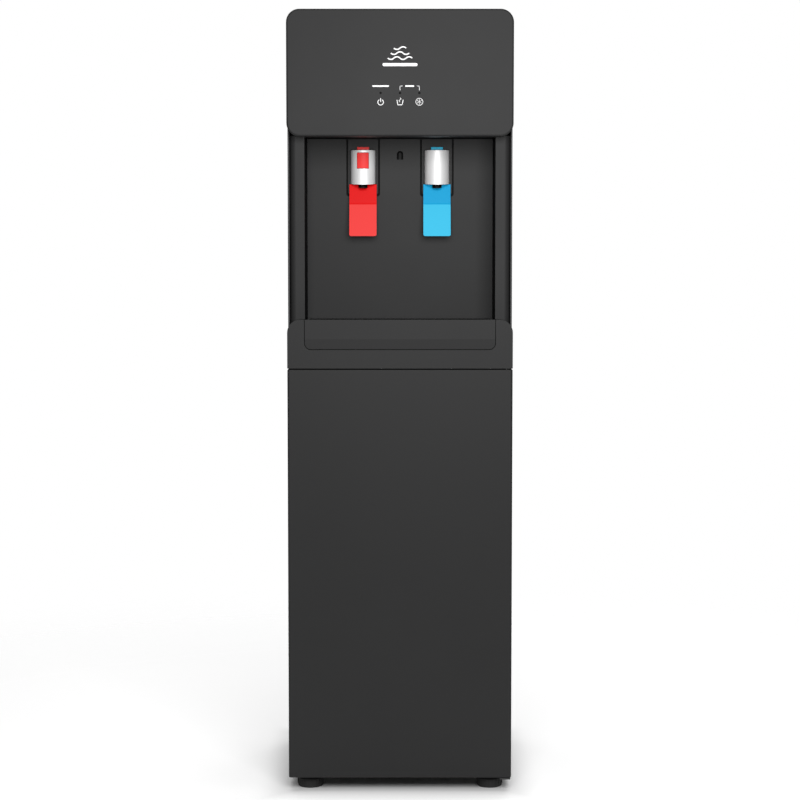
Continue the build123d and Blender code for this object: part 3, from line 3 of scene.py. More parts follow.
import bpy
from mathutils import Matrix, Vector


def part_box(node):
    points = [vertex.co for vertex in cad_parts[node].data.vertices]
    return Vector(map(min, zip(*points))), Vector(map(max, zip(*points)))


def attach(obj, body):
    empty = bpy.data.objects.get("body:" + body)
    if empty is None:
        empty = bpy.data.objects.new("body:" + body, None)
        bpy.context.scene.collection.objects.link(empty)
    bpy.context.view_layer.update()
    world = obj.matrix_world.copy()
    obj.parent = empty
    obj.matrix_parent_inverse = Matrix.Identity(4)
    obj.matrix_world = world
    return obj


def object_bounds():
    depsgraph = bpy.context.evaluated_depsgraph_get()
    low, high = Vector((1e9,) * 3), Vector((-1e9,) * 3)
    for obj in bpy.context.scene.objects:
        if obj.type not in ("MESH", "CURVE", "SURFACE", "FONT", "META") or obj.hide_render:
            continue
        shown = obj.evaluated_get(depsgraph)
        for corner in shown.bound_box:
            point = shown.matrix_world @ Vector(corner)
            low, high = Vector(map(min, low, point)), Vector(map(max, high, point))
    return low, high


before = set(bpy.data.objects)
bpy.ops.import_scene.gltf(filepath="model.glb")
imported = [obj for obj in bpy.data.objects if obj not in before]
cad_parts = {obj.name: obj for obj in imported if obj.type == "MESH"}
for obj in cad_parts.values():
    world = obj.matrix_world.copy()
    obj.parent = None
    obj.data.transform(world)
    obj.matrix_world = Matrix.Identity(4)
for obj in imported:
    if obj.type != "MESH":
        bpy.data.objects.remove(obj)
cad_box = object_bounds()

# ---------------------------------------------------------------- front covers
# Charcoal covers moulded in ABS with a fine spark-eroded grain. The head, the fascia round the
# tray, the tray's front, the service door, the alcove's cheeks and back panel, the tap bezels and
# the top cover share one batch.


class Signal:
    """One socket of a material. Arithmetic on it adds Math nodes, and node() adds any other."""

    def __init__(self, socket):
        self.socket = socket

    def node(self, kind, settings, inputs, output=0):
        """Adds a node beside this socket: settings first, then its sockets' values or links."""
        made = self.socket.id_data.nodes.new(kind)
        for key, value in settings.items():
            setattr(made, key, value)
        for key, value in inputs.items():
            if isinstance(value, Signal):
                self.socket.id_data.links.new(value.socket, made.inputs[key])
            else:
                made.inputs[key].default_value = value
        return Signal(made.outputs[output])

    def math(self, operation, *values):
        """A Math node on signals and numbers."""
        return self.node("ShaderNodeMath", {"operation": operation}, dict(enumerate(values)))

    def __add__(self, other):
        return self.math("ADD", self, other)

    def __mul__(self, other):
        return self.math("MULTIPLY", self, other)

    def __sub__(self, other):
        return self.math("SUBTRACT", self, other)

    def __rsub__(self, other):
        return self.math("SUBTRACT", other, self)

    def __gt__(self, other):
        return self.math("GREATER_THAN", self, other)

    def __abs__(self):
        return self.math("ABSOLUTE", self)

    __radd__ = __add__
    __rmul__ = __mul__

    def noise(self, scale, detail=2.0, rough=0.5):
        """Noise over this place vector, as a factor."""
        inputs = {"Vector": self, "Scale": scale, "Detail": detail, "Roughness": rough}
        return self.node("ShaderNodeTexNoise", {}, inputs)

    def stretched(self, x, y, z):
        """This place vector with each axis scaled, so that a pattern runs long one way."""
        return self.node("ShaderNodeMapping", {}, {"Vector": self, "Scale": (x, y, z)})

    def along(self, axis):
        """This place vector's distance along X, Y or Z."""
        return self.node("ShaderNodeSeparateXYZ", {}, {0: self}, output=axis)

    def blend(self, low, high):
        """A colour between two, with this factor."""
        settings = {"data_type": "RGBA"}
        return self.node("ShaderNodeMix", settings, {0: self, 6: low, 7: high}, output=2)


def new_finish(name, **constants):
    """A Principled material with constants on its sockets. Returns it and its place signal."""
    material = bpy.data.materials.new(name)
    material.use_nodes = True
    tree = material.node_tree
    shader = tree.nodes["Principled BSDF"]
    for key, value in constants.items():
        shader.inputs[key.replace("_", " ")].default_value = value
    place = Signal(tree.nodes.new("ShaderNodeTexCoord").outputs["Object"])
    return material, place


def feed(material, **signals):
    """Links signals to the shader's sockets."""
    tree = material.node_tree
    shader = tree.nodes["Principled BSDF"]
    for key, value in signals.items():
        tree.links.new(value.socket, shader.inputs[key.replace("_", " ")])


def bumped(height, strength, depth):
    """The shading normal for a height pattern, depth in metres."""
    inputs = {"Height": height, "Strength": strength, "Distance": depth}
    return height.node("ShaderNodeBump", {}, inputs)


def grey(value, tint=(1.0, 1.0, 1.0)):
    """An opaque linear colour, grey times a tint."""
    return (value * tint[0], value * tint[1], value * tint[2], 1.0)


def moulded(name, dark, light, roughness, grain=1500.0, relief=0.00006, **constants):
    """Moulded plastic: a faint cloud of tone, a fine eroded grain and uneven gloss."""
    material, place = new_finish(name, **constants)
    cloud = place.noise(9.0, detail=3.0)
    pores = place.noise(grain, detail=1.0)
    cloud_gloss = 0.08
    pore_gloss = 0.06
    least = roughness - (cloud_gloss + pore_gloss) / 2
    feed(
        material,
        Base_Color=cloud.blend(dark, light),
        Roughness=cloud * cloud_gloss + pores * pore_gloss + least,
        Normal=bumped(pores, 0.35, relief),
    )
    return material


def dress(material, *names):
    """Gives CAD nodes a finish."""
    for name in names:
        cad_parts[name].material_slots[0].material = material


charcoal_tint = (1.0, 1.0, 1.01)
cover_finish = moulded(
    "charcoal_cover",
    grey(0.019, charcoal_tint),
    grey(0.021, charcoal_tint),
    roughness=0.5,
    Specular_IOR_Level=0.14,
)
dress(
    cover_finish,
    "head_cover",
    "front_fascia",
    "service_door",
    "drip_tray",
    "alcove_cheek_left",
    "alcove_cheek_right",
    "alcove_back_panel",
    "hot_tap_bezel",
    "cold_tap_bezel",
    "top_cover",
)

# ---------------------------------------------------------------- steel cabinet
# Side panels, rear panel and base pan are folded from 1.2 mm steel and powder coated, which
# leaves a soft orange-peel ripple.
powder_coat, place = new_finish("powder_coat", Specular_IOR_Level=0.45)
ripple = place.noise(420.0, detail=2.0, rough=0.4)
cloud = place.noise(5.0, detail=2.0)
feed(
    powder_coat,
    Base_Color=cloud.blend(grey(0.020, charcoal_tint), grey(0.024, charcoal_tint)),
    Roughness=ripple * 0.10 + 0.42,
    Normal=bumped(ripple, 0.5, 0.00008),
)
dress(powder_coat, "side_panel_left", "side_panel_right", "rear_panel", "base_pan")

# ---------------------------------------------------------------- bare metal
# The galvanised bulkhead and bracket, the stainless tanks, the strike, screws, pins and springs:
# rolled or drawn metal with fine lines along the rolling direction and a slightly uneven gloss.
bare_metal, place = new_finish("rolled_steel", Metallic=1.0)
lines = place.stretched(1.0, 1.0, 60.0).noise(28.0, detail=3.0)
spangle = place.noise(60.0, detail=3.0)
feed(
    bare_metal,
    Base_Color=(lines * 0.6 + spangle * 0.4).blend(grey(0.42), grey(0.62)),
    Roughness=lines * 0.20 + 0.24,
    Normal=bumped(lines, 0.25, 0.00005),
)
dress(
    bare_metal,
    "bulkhead_shelf",
    "cold_tank_bracket",
    "cold_tank",
    "hot_tank",
    "door_strike",
    "panel_screws",
    "paddle_pins",
    "valve_springs",
)

# ---------------------------------------------------------------- black mouldings
# The alcove's liner, the spouts, the valve bodies, the grille, the switch plate, the gland and
# the drain cap are black polypropylene with a dull skin. Its black is made near lightless, darker
# than black plastic, as painted shade for the liner's walls in the gaps round the back panel.
black_moulding_and_gap_shade = moulded(
    "black_moulding_and_gap_shade",
    grey(0.0015),
    grey(0.0025),
    roughness=0.55,
    grain=1200.0,
    Specular_IOR_Level=0.06,
)
dress(
    black_moulding_and_gap_shade,
    "alcove_liner",
    "drip_grille",
    "hot_spout",
    "cold_spout",
    "hot_valve_body",
    "cold_valve_body",
    "switch_plate",
    "cord_gland",
    "drain_cap",
)

# ---------------------------------------------------------------- tap covers
# Deep half-round caps over the spouts, in satin silver. Fine lines round their curve spread the
# highlights across them.
silver, place = new_finish("satin_silver", Metallic=0.25, Specular_IOR_Level=0.4)
brush = place.stretched(1.0, 1.0, 40.0).noise(90.0, detail=2.0)
feed(
    silver,
    Base_Color=brush.blend(grey(0.76), grey(0.82)),
    Roughness=brush * 0.10 + 0.44,
    Normal=bumped(brush, 0.10, 0.00002),
)
dress(silver, "hot_tap_cover", "cold_tap_cover")

# ---------------------------------------------------------------- paddles, markers and button
# Satin ABS in signal red for hot and sky blue for cold, lightly textured so that it doesn't show
# fingerprints. The two outer rocker switches on the back are the same plastic.
MM = 0.001
hot_red = moulded(
    "hot_red",
    (0.78, 0.046, 0.043, 1),
    (0.84, 0.052, 0.049, 1),
    roughness=0.42,
    relief=0.00002,
    Specular_IOR_Level=0.1,
)
cold_blue = moulded(
    "cold_blue",
    (0.03, 0.45, 0.68, 1),
    (0.04, 0.49, 0.74, 1),
    roughness=0.42,
    relief=0.00002,
    Specular_IOR_Level=0.1,
)
dress(hot_red, "hot_tap_marker", "hot_safety_button", "hot_rocker")
dress(cold_blue, "cold_tap_marker", "cold_rocker")

# painted light and shade: the arms above the paddles' bend are painted a deeper, darker colour for
# the shade under the tap covers, and the pads below it are painted paler, as if brighter lit
arm_h = 40.5 * MM
bend_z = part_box("hot_paddle")[1].z - arm_h
for name, shaded_arm_colour, lit_pad_colour in (
    ("hot_paddle", (0.70, 0.0006, 0.0012, 1), (0.82, 0.052, 0.049, 1)),
    ("cold_paddle", (0.0010, 0.33, 0.62, 1), (0.045, 0.50, 0.76, 1)),
):
    lit_and_shaded_paddle, place = new_finish(name + "_plastic", Specular_IOR_Level=0.1)
    pores = place.noise(1500.0, detail=1.0)
    feed(
        lit_and_shaded_paddle,
        # painted shade above the bend, painted light below it
        Base_Color=(place.along("Z") > bend_z).blend(lit_pad_colour, shaded_arm_colour),
        Roughness=pores * 0.06 + 0.37,
        Normal=bumped(pores, 0.35, 0.00002),
    )
    dress(lit_and_shaded_paddle, name)

# ---------------------------------------------------------------- white mouldings
# Filter cartridges and their manifold, the tank lid, the float, the plungers, the inlet and the
# middle rocker are natural polypropylene, slightly warm.
warm_tint = (1, 1, 0.97)
white_moulding = moulded(
    "white_moulding", grey(0.70, warm_tint), grey(0.78, warm_tint), roughness=0.42
)
dress(
    white_moulding,
    "filter_manifold",
    "filter_cartridge_left",
    "filter_cartridge_right",
    "cold_tank_lid",
    "float_arm",
    "hot_plunger",
    "cold_plunger",
    "water_inlet",
    "light_rocker",
)

# ---------------------------------------------------------------- indicator lights
# Three smoked windows in the head stand over the lamps on the board behind it. With the lamps
# off they look black.
smoked = moulded(
    "smoked_window",
    grey(0.001),
    grey(0.002),
    roughness=0.5,
    relief=0.00001,
    Specular_IOR_Level=0.05,
)
dress(smoked, "indicator_lights")

# ---------------------------------------------------------------- water tubes and coil
# Food-grade tube is milky polyethylene. The evaporator coil is soft copper wound round the
# cold tank, browned in patches.
milky_tint = (0.96, 1, 1.02)
milky = moulded("milky_tube", grey(0.62, milky_tint), grey(0.72, milky_tint), roughness=0.3)
dress(milky, "water_tubes")

copper, place = new_finish("drawn_copper", Metallic=1.0)
tarnish = place.noise(45.0, detail=4.0, rough=0.6)
feed(
    copper,
    Base_Color=tarnish.blend((0.72, 0.33, 0.20, 1), (0.42, 0.17, 0.10, 1)),
    Roughness=tarnish * 0.3 + 0.2,
)
dress(copper, "evaporator_coil")

# ---------------------------------------------------------------- refrigeration
# Compressor shell and condenser are dipped in black enamel: glossy, with small runs and dust.
# The door's hinge pins are blackened to match.
enamel, place = new_finish("black_enamel", Coat_Weight=0.3)
dust = place.noise(35.0, detail=4.0)
feed(
    enamel,
    Base_Color=dust.blend(grey(0.010), grey(0.022)),
    Roughness=dust * 0.25 + 0.22,
    Normal=bumped(place.noise(160.0), 0.3, 0.0001),
)
dress(enamel, "compressor", "condenser", "door_hinge_pins")

# ---------------------------------------------------------------- feet and rubber
# Levelling feet, compressor mounts and the door's flexible magnet are black rubber, matt and
# slightly mottled.
rubber = moulded(
    "black_rubber", grey(0.010), grey(0.016), roughness=0.75, grain=900.0, relief=0.0001
)
dress(rubber, "levelling_feet", "compressor_mounts", "door_magnet")

# ---------------------------------------------------------------- indicator board
# The glass-epoxy board behind the head carries the lamps. Its woven glass shows faintly through
# the green lacquer.
board, place = new_finish("board_green", Roughness=0.35)
weave = place.noise(300.0)
feed(board, Base_Color=weave.blend((0.01, 0.12, 0.04, 1), (0.02, 0.18, 0.06, 1)))
dress(board, "indicator_board")

# ---------------------------------------------------------------- night light
# A small tab in the back panel, outlined by a groove, with a pinhole for the light sensor
# at its foot. The tab is cover plastic, and the groove's floor is painted near-black as painted
# shade in the groove.
tab_low, tab_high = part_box("night_light_lens")
panel_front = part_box("alcove_back_panel")[0].y
tab_finish, place = new_finish("night_light_groove", Roughness=0.6, Specular_IOR_Level=0.05)
tab_relief = 0.5 * MM
# painted shade: the floor of the groove is painted near-black
groove_painted_shade = place.along("Y") > panel_front + tab_relief
feed(tab_finish, Base_Color=groove_painted_shade.blend(grey(0.020, charcoal_tint), grey(0.0006)))
dress(tab_finish, "night_light_lens")


def start_clean():
    """Leaves edit mode and deselects everything, so that an operator acts on one piece alone."""
    if bpy.context.object and bpy.context.object.mode == "EDIT":
        bpy.ops.object.mode_set(mode="OBJECT")
    bpy.ops.object.select_all(action="DESELECT")


def modify(kind, **settings):
    """Adds a modifier to the active piece and applies it."""
    added = bpy.context.object.modifiers.new(kind, kind)
    for key, value in settings.items():
        setattr(added, key, value)
    bpy.ops.object.modifier_apply(modifier=added.name)


def finish_piece(name, body, material, smooth=30.0):
    """Bakes the active piece's place into its mesh, shades it and hands it to the frame."""
    piece = bpy.context.object
    if piece.mode == "EDIT":
        bpy.ops.object.mode_set(mode="OBJECT")
    piece.name = name
    piece.data.name = name
    bpy.ops.object.transform_apply(location=True, rotation=True, scale=True)
    bpy.ops.object.shade_smooth_by_angle(angle=radians(smooth))
    piece.data.materials.clear()
    piece.data.materials.append(material)
    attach(piece, body)
    return piece


facing_front = (pi / 2, 0, 0)
pinhole_r = 0.8 * MM
pinhole_rim = 0.25 * MM
pinhole_depth = 0.3 * MM
pinhole_wall = 0.1 * MM
pinhole_up = 4.4 * MM
pinhole_at = (
    (tab_low.x + tab_high.x) / 2,
    panel_front + pinhole_wall / 2,
    tab_low.z + pinhole_up,
)
start_clean()
bpy.ops.mesh.primitive_circle_add(
    vertices=24, radius=pinhole_r, fill_type="NGON", location=pinhole_at, rotation=facing_front
)
bpy.ops.object.mode_set(mode="EDIT")
bpy.ops.mesh.inset(thickness=pinhole_rim)
bpy.ops.transform.translate(value=(0, pinhole_depth, 0))
bpy.ops.object.mode_set(mode="OBJECT")
modify("SOLIDIFY", thickness=pinhole_wall, offset=0.0)
finish_piece("sensor_pinhole", "cabinet", black_moulding_and_gap_shade)

# ---------------------------------------------------------------- printing on the head
# White pad-printed ink, a tenth of a millimetre thick: a plain wave device over a bar, two label
# bars with a bracket between the lamps, and a power, a steaming-cup and a snowflake pictogram.
ink = moulded("white_ink", grey(0.80), grey(0.88), roughness=0.45, relief=0.00001)
ink_t = 0.10 * MM
ink_bite = 0.03 * MM
ink_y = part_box("head_cover")[0].y - ink_t / 2 + ink_bite
lamp_low, lamp_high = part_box("indicator_lights")
lamp_z = (lamp_low.z + lamp_high.z) / 2
lamp_r = (lamp_high.z - lamp_low.z) / 2
lamp_pitch = (lamp_high.x - lamp_low.x) / 2 - lamp_r


def pick(kind, test):
    """In edit mode, selects the active piece's VERT or FACE elements whose place passes a test."""
    piece = bpy.context.object
    bpy.ops.object.mode_set(mode="EDIT")
    bpy.ops.mesh.select_mode(type=kind)
    bpy.ops.mesh.select_all(action="DESELECT")
    bpy.ops.object.mode_set(mode="OBJECT")
    if kind == "FACE":
        for face in piece.data.polygons:
            face.select = test(piece.matrix_world @ face.center)
    else:
        for corner in piece.data.vertices:
            corner.select = test(piece.matrix_world @ corner.co)
    bpy.ops.object.mode_set(mode="EDIT")


def join_pieces(pieces):
    """Joins several pieces into the first of them, which becomes the active one."""
    start_clean()
    for piece in pieces:
        piece.select_set(True)
    bpy.context.view_layer.objects.active = pieces[0]
    bpy.ops.object.join()


def ink_bar(x, z, length, width, turn=0.0):
    """A flat bar with rounded ends, centred at x, z and turned about the view axis."""
    start_clean()
    bpy.ops.mesh.primitive_plane_add(size=1.0, location=(x, ink_y, z), rotation=(pi / 2, turn, 0))
    bar = bpy.context.object
    bar.scale = (length, width, 1)
    bpy.ops.object.transform_apply(location=False, rotation=False, scale=True)
    bpy.ops.object.mode_set(mode="EDIT")
    bpy.ops.mesh.bevel(offset=min(length, width) * 0.45, segments=3, affect="VERTICES")
    bpy.ops.object.mode_set(mode="OBJECT")
    bpy.ops.object.transform_apply(location=True, rotation=True, scale=True)
    return bar


def ink_arc(x, z, radius, width, dropped=None):
    """A ring round x, z, less the faces whose place beside the centre passes a test."""
    start_clean()
    bpy.ops.mesh.primitive_circle_add(
        vertices=48, radius=radius, fill_type="NGON", location=(x, ink_y, z), rotation=facing_front
    )
    arc = bpy.context.object
    bpy.ops.object.mode_set(mode="EDIT")
    bpy.ops.mesh.select_all(action="SELECT")
    bpy.ops.mesh.inset(thickness=width)
    bpy.ops.mesh.delete(type="FACE")
    bpy.ops.object.mode_set(mode="OBJECT")
    if dropped:
        pick("FACE", lambda at: dropped(at.x - x, at.z - z))
        bpy.ops.mesh.delete(type="FACE")
        bpy.ops.object.mode_set(mode="OBJECT")
    bpy.ops.object.transform_apply(location=True, rotation=True, scale=True)
    return arc


def ink_wave(x, z, length, width, arcs):
    """A level wave line: arcs of a quarter circle each, bulging down and up in turn."""
    half = radians(45)
    middle_r = length / arcs / 2 / sin(half)
    outer_r = middle_r + width / 2
    line = []
    for step in range(arcs):
        side = 1 if step % 2 else -1
        arc_x = x + (step - (arcs - 1) / 2) * length / arcs
        arc_z = z - side * middle_r * cos(half)
        line.append(
            ink_arc(
                arc_x,
                arc_z,
                outer_r,
                width,
                dropped=lambda dx, dz: dz * side < hypot(dx, dz) * cos(half),
            )
        )
    return line


def print_on_head(name, marks):
    """Joins ink marks, gives the ink its thickness and fixes it to the head."""
    join_pieces(marks)
    modify("SOLIDIFY", thickness=ink_t, offset=0.0)
    finish_piece(name, "cabinet", ink)


# the device: three waves that shorten upwards, over a plain bar
device_z = lamp_z + 37.0 * MM
first_wave = 8.5 * MM
wave_pitch = 6.5 * MM
arc_w = 8.0 * MM
device = [ink_bar(0, device_z, length=46 * MM, width=4.0 * MM)]
for row, arcs in enumerate((4, 3, 2)):
    wave_z = device_z + first_wave + row * wave_pitch
    device += ink_wave(0, wave_z, length=arc_w * arcs, width=1.6 * MM, arcs=arcs)
print_on_head("printed_device", device)

# label bars, and the bracket that ties the second label to the two right-hand lamps
label_z = lamp_z + 9.0 * MM
label_h = 2.0 * MM
bracket_x = lamp_pitch / 2
bracket_t = 0.6 * MM
leg_h = 6.0 * MM
top_w = 3.6 * MM
labels = [
    ink_bar(-lamp_pitch, label_z, length=22 * MM, width=label_h),
    ink_bar(bracket_x, label_z, length=12 * MM, width=label_h),
]
for side in (-1, 1):
    leg_x = bracket_x + side * lamp_pitch / 2
    leg_z = label_z - 2.6 * MM
    top_x = leg_x - side * 1.5 * MM
    top_z = label_z + 0.1 * MM
    labels += [
        ink_bar(leg_x, leg_z, length=leg_h, width=bracket_t, turn=pi / 2),
        ink_bar(top_x, top_z, length=top_w, width=bracket_t),
    ]
print_on_head("printed_labels", labels)

# power, steaming cup and snowflake, each about 9 mm across
icon_z = lamp_z - 11.5 * MM
power_x = -lamp_pitch
power_t = 0.9 * MM
half_gap = 1.9 * MM
power = [
    ink_arc(
        power_x,
        icon_z - 0.6 * MM,
        radius=4.1 * MM,
        width=power_t,
        dropped=lambda dx, dz: dz > 0 and abs(dx) < half_gap,
    ),
    ink_bar(power_x, icon_z + 2.2 * MM, length=5.0 * MM, width=power_t, turn=pi / 2),
]
print_on_head("printed_power_icon", power)

cup = [ink_bar(0, icon_z - 4.0 * MM, length=6.6 * MM, width=1.0 * MM)]
for side in (-1, 1):
    wall_x = side * 3.5 * MM
    wall_z = icon_z - 0.8 * MM
    steam_z = icon_z + (2.4 + 1.2 * side) * MM
    cup += [
        ink_bar(wall_x, wall_z, length=7.2 * MM, width=0.9 * MM, turn=radians(-80 * side)),
        ink_arc(
            0, steam_z, radius=1.5 * MM, width=0.7 * MM, dropped=lambda dx, dz: dx * side < 0
        ),
    ]
print_on_head("printed_cup_icon", cup)

snow = [ink_arc(lamp_pitch, icon_z, radius=4.9 * MM, width=0.6 * MM)]
for spoke in range(3):
    spoke_turn = radians(60 * spoke + 30)
    snow.append(ink_bar(lamp_pitch, icon_z, length=7.6 * MM, width=0.5 * MM, turn=spoke_turn))
print_on_head("printed_snow_icon", snow)

# ---------------------------------------------------------------- door gasket
# A soft black rubber strip glued round the back of the door's rim. Its rounded lip closes most
# of the gap to the cabinet.
door_low, door_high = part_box("service_door")
gasket_w = 5.0 * MM
gasket_h = 1.6 * MM
gasket_inset = 5.5 * MM
gasket_corner = 6.0 * MM
lip_r = 0.7 * MM
start_clean()
bpy.ops.mesh.primitive_plane_add(
    size=1.0,
    location=(0, door_high.y, (door_low.z + door_high.z) / 2),
    rotation=(-pi / 2, 0, 0),
)
bpy.context.object.scale = (
    door_high.x - door_low.x - 2 * gasket_inset,
    door_high.z - door_low.z - 2 * gasket_inset,
    1,
)
bpy.ops.object.transform_apply(location=False, rotation=False, scale=True)
bpy.ops.object.mode_set(mode="EDIT")
bpy.ops.mesh.bevel(offset=gasket_corner, segments=5, affect="VERTICES")
bpy.ops.mesh.select_all(action="SELECT")
bpy.ops.mesh.inset(thickness=gasket_w)
bpy.ops.mesh.delete(type="FACE")
bpy.ops.mesh.select_all(action="SELECT")
bpy.ops.mesh.extrude_region_move(TRANSFORM_OT_translate={"value": (0, gasket_h, 0)})
bpy.ops.mesh.select_all(action="SELECT")
bpy.ops.mesh.normals_make_consistent(inside=False)
bpy.ops.object.mode_set(mode="OBJECT")
modify("BEVEL", width=lip_r, segments=3, limit_method="ANGLE")
finish_piece("door_gasket", "service_door", rubber)

# ---------------------------------------------------------------- foot grips
# Each levelling foot wears a ribbed rubber band, so that it can be turned by hand to set the
# height. The ribs are moulded on the band.
foot_r = 17.2 * MM
grip_h = 6.5 * MM
grip_z = 7.0 * MM
grip_t = 0.4 * MM
grip_gap = 0.1 * MM
grip_sides = 72
sides_per_rib = 3
rib_out = 0.7 * MM


def on_rib(at):
    """Whether a point of the band, while the band stands round the Z axis, lies on a rib."""
    turns = atan2(at.y, at.x) % (2 * pi) / (2 * pi)
    return int(turns * grip_sides) % sides_per_rib == 0


def corner_places(prefix, node, inset):
    """The axes of a node's four corner pieces, each inset from the node's box, by name."""
    low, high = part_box(node)
    return {
        f"{prefix}_{end}_{hand}": (side * (high.x - inset), y, 0)
        for hand, side in (("left", -1), ("right", 1))
        for end, y in (("front", low.y + inset), ("rear", high.y - inset))
    }


def finish_copies(places, body, material, smooth=30.0):
    """Finishes a copy of the active piece, with a mesh of its own, at each named place."""
    pattern = bpy.context.object
    for name, shift in places.items():
        start_clean()
        pattern.select_set(True)
        bpy.context.view_layer.objects.active = pattern
        bpy.ops.object.duplicate()
        bpy.ops.transform.translate(value=shift)
        finish_piece(name, body, material, smooth)
    bpy.data.objects.remove(pattern)


start_clean()
bpy.ops.mesh.primitive_cylinder_add(
    vertices=grip_sides,
    radius=foot_r + grip_gap,
    depth=grip_h,
    end_fill_type="NOTHING",
    location=(0, 0, grip_z),
)
pick("FACE", on_rib)
bpy.ops.mesh.extrude_faces_move(TRANSFORM_OT_shrink_fatten={"value": rib_out})
bpy.ops.mesh.select_all(action="SELECT")
bpy.ops.mesh.remove_doubles(threshold=0.01 * MM)
bpy.ops.object.mode_set(mode="OBJECT")
modify("SOLIDIFY", thickness=grip_t, offset=-1.0)
foot_places = corner_places("foot_grip", "levelling_feet", foot_r)
finish_copies(foot_places, "cabinet", rubber, smooth=20.0)

# ---------------------------------------------------------------- filter sleeves
# Each cartridge wears a printed sleeve, blue or grey with two white rings, and a white flow
# arrow faces the door, so that the two can't be swapped.
filter_r = 32.0 * MM
sleeve_t = 0.25 * MM
sleeve_gap = 0.05 * MM
sleeve_h = 120 * MM
sleeve_lift = 150 * MM
ring_from_end = 7 * MM
half_ring = 2 * MM
arrow_head_r = 15 * MM
arrow_head_up = 20 * MM
shaft_w = 9 * MM
shaft_h = 42 * MM
shaft_down = 7 * MM
film_t = 0.12 * MM
film_lift = 0.08 * MM
film_start = 6 * MM
for hand, tone, slot_name in (
    ("left", (0.03, 0.27, 0.45, 1), "cold_blue"),
    ("right", grey(0.20), "black_plastic"),
):
    low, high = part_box(f"filter_cartridge_{hand}")
    axis = (low + high) / 2
    sleeve_z = low.z + sleeve_lift
    sleeve_finish, place = new_finish(f"filter_sleeve_print_{hand}", Roughness=0.38)
    from_middle = abs(place.along("Z") - sleeve_z)
    ring = from_middle.math("COMPARE", from_middle, sleeve_h / 2 - ring_from_end, half_ring)
    feed(sleeve_finish, Base_Color=ring.blend(tone, grey(0.8)))
    start_clean()
    bpy.ops.mesh.primitive_cylinder_add(
        vertices=96,
        radius=filter_r + sleeve_gap,
        depth=sleeve_h,
        end_fill_type="NOTHING",
        location=(axis.x, axis.y, sleeve_z),
    )
    modify("SOLIDIFY", thickness=sleeve_t, offset=1.0)
    sleeve = finish_piece(f"filter_sleeve_{hand}", f"filter_{hand}", sleeve_finish)

    # the arrow is cut from flat film in front of the sleeve, then laid round it
    film_y = axis.y - filter_r - film_start
    start_clean()
    bpy.ops.mesh.primitive_circle_add(
        vertices=3,
        radius=arrow_head_r,
        fill_type="NGON",
        location=(axis.x, film_y, sleeve_z + arrow_head_up),
        rotation=facing_front,
    )
    arrow_head = bpy.context.object
    start_clean()
    bpy.ops.mesh.primitive_plane_add(
        size=1.0, location=(axis.x, film_y, sleeve_z - shaft_down), rotation=facing_front
    )
    shaft = bpy.context.object
    shaft.scale = (shaft_w, shaft_h, 1)
    join_pieces([arrow_head, shaft])
    bpy.ops.object.mode_set(mode="EDIT")
    bpy.ops.mesh.select_all(action="SELECT")
    bpy.ops.mesh.quads_convert_to_tris()
    bpy.ops.mesh.subdivide(number_cuts=9)
    bpy.ops.object.mode_set(mode="OBJECT")
    bpy.ops.object.transform_apply(location=True, rotation=True, scale=True)
    modify(
        "SHRINKWRAP",
        target=sleeve,
        wrap_method="PROJECT",
        use_project_y=True,
        use_positive_direction=True,
        offset=film_lift,
    )
    modify("SOLIDIFY", thickness=film_t, offset=0.0)
    finish_piece(f"filter_arrow_{hand}", f"filter_{hand}", ink)

# ---------------------------------------------------------------- nozzle rings
# A soft black silicone ring lines the mouth of each spout, narrows a little downwards and breaks
# the drip.
nozzle_out = 13.8 * MM
ring_r = 4.9 * MM
ring_t = 0.8 * MM
ring_lift = 0.2 * MM
narrowing = 0.92
for tap in ("hot", "cold"):
    low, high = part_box(f"{tap}_spout")
    mouth = ((low.x + high.x) / 2, panel_front - nozzle_out, low.z + ring_lift)
    start_clean()
    bpy.ops.mesh.primitive_torus_add(
        location=mouth,
        major_radius=ring_r,
        minor_radius=ring_t,
        major_segments=40,
        minor_segments=12,
    )
    pick("VERT", lambda at: at.z < mouth[2])
    bpy.ops.transform.resize(value=(narrowing, narrowing, 1.0), center_override=mouth)
    finish_piece(f"{tap}_nozzle_ring", "cabinet", rubber)

# ---------------------------------------------------------------- compressor fittings
# Four plated bolts on washers hold the compressor's plate down on its rubber mounts, and a
# pinched copper stub closes the port that the gas was charged through.
mount_low, mount_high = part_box("compressor_mounts")
mount_r = 9.0 * MM
plate_t = 3.0 * MM
plate_top = mount_high.z + plate_t
bolt_edge = 0.3 * MM
fastener = []
for sides, radius, middle, depth in (
    (32, 6.5 * MM, 0.6 * MM, 1.2 * MM),  # the washer
    (6, 4.6 * MM, 3.2 * MM, 4.0 * MM),  # the hexagon head
):
    start_clean()
    bpy.ops.mesh.primitive_cylinder_add(
        vertices=sides, radius=radius, depth=depth, location=(0, 0, plate_top + middle)
    )
    modify("BEVEL", width=bolt_edge, segments=2)
    fastener.append(bpy.context.object)
join_pieces(fastener)
bolt_places = corner_places("compressor_bolt", "compressor_mounts", mount_r)
finish_copies(bolt_places, "cabinet", bare_metal)

stub_x = -22 * MM
stub_y = (mount_low.y + mount_high.y) / 2 - 8 * MM
stub_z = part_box("compressor")[1].z - 8 * MM
stub_r = 2.6 * MM
stub_h = 30 * MM
neck_h = 4 * MM
pinched_h = 6 * MM
spread, squeeze = 1.4, 0.2
start_clean()
bpy.ops.mesh.primitive_cylinder_add(
    vertices=24, radius=stub_r, depth=stub_h, location=(stub_x, stub_y, stub_z + stub_h / 2)
)
pick("FACE", lambda at: at.z > stub_z + stub_h - 1 * MM)
bpy.ops.mesh.extrude_region_move(TRANSFORM_OT_translate={"value": (0, 0, neck_h)})
pinch_at = (stub_x, stub_y, stub_z + stub_h + neck_h)
bpy.ops.transform.resize(value=(spread, squeeze, 1.0), center_override=pinch_at)
bpy.ops.mesh.extrude_region_move(TRANSFORM_OT_translate={"value": (0, 0, pinched_h)})
finish_piece("compressor_charge_stub", "cabinet", copper)

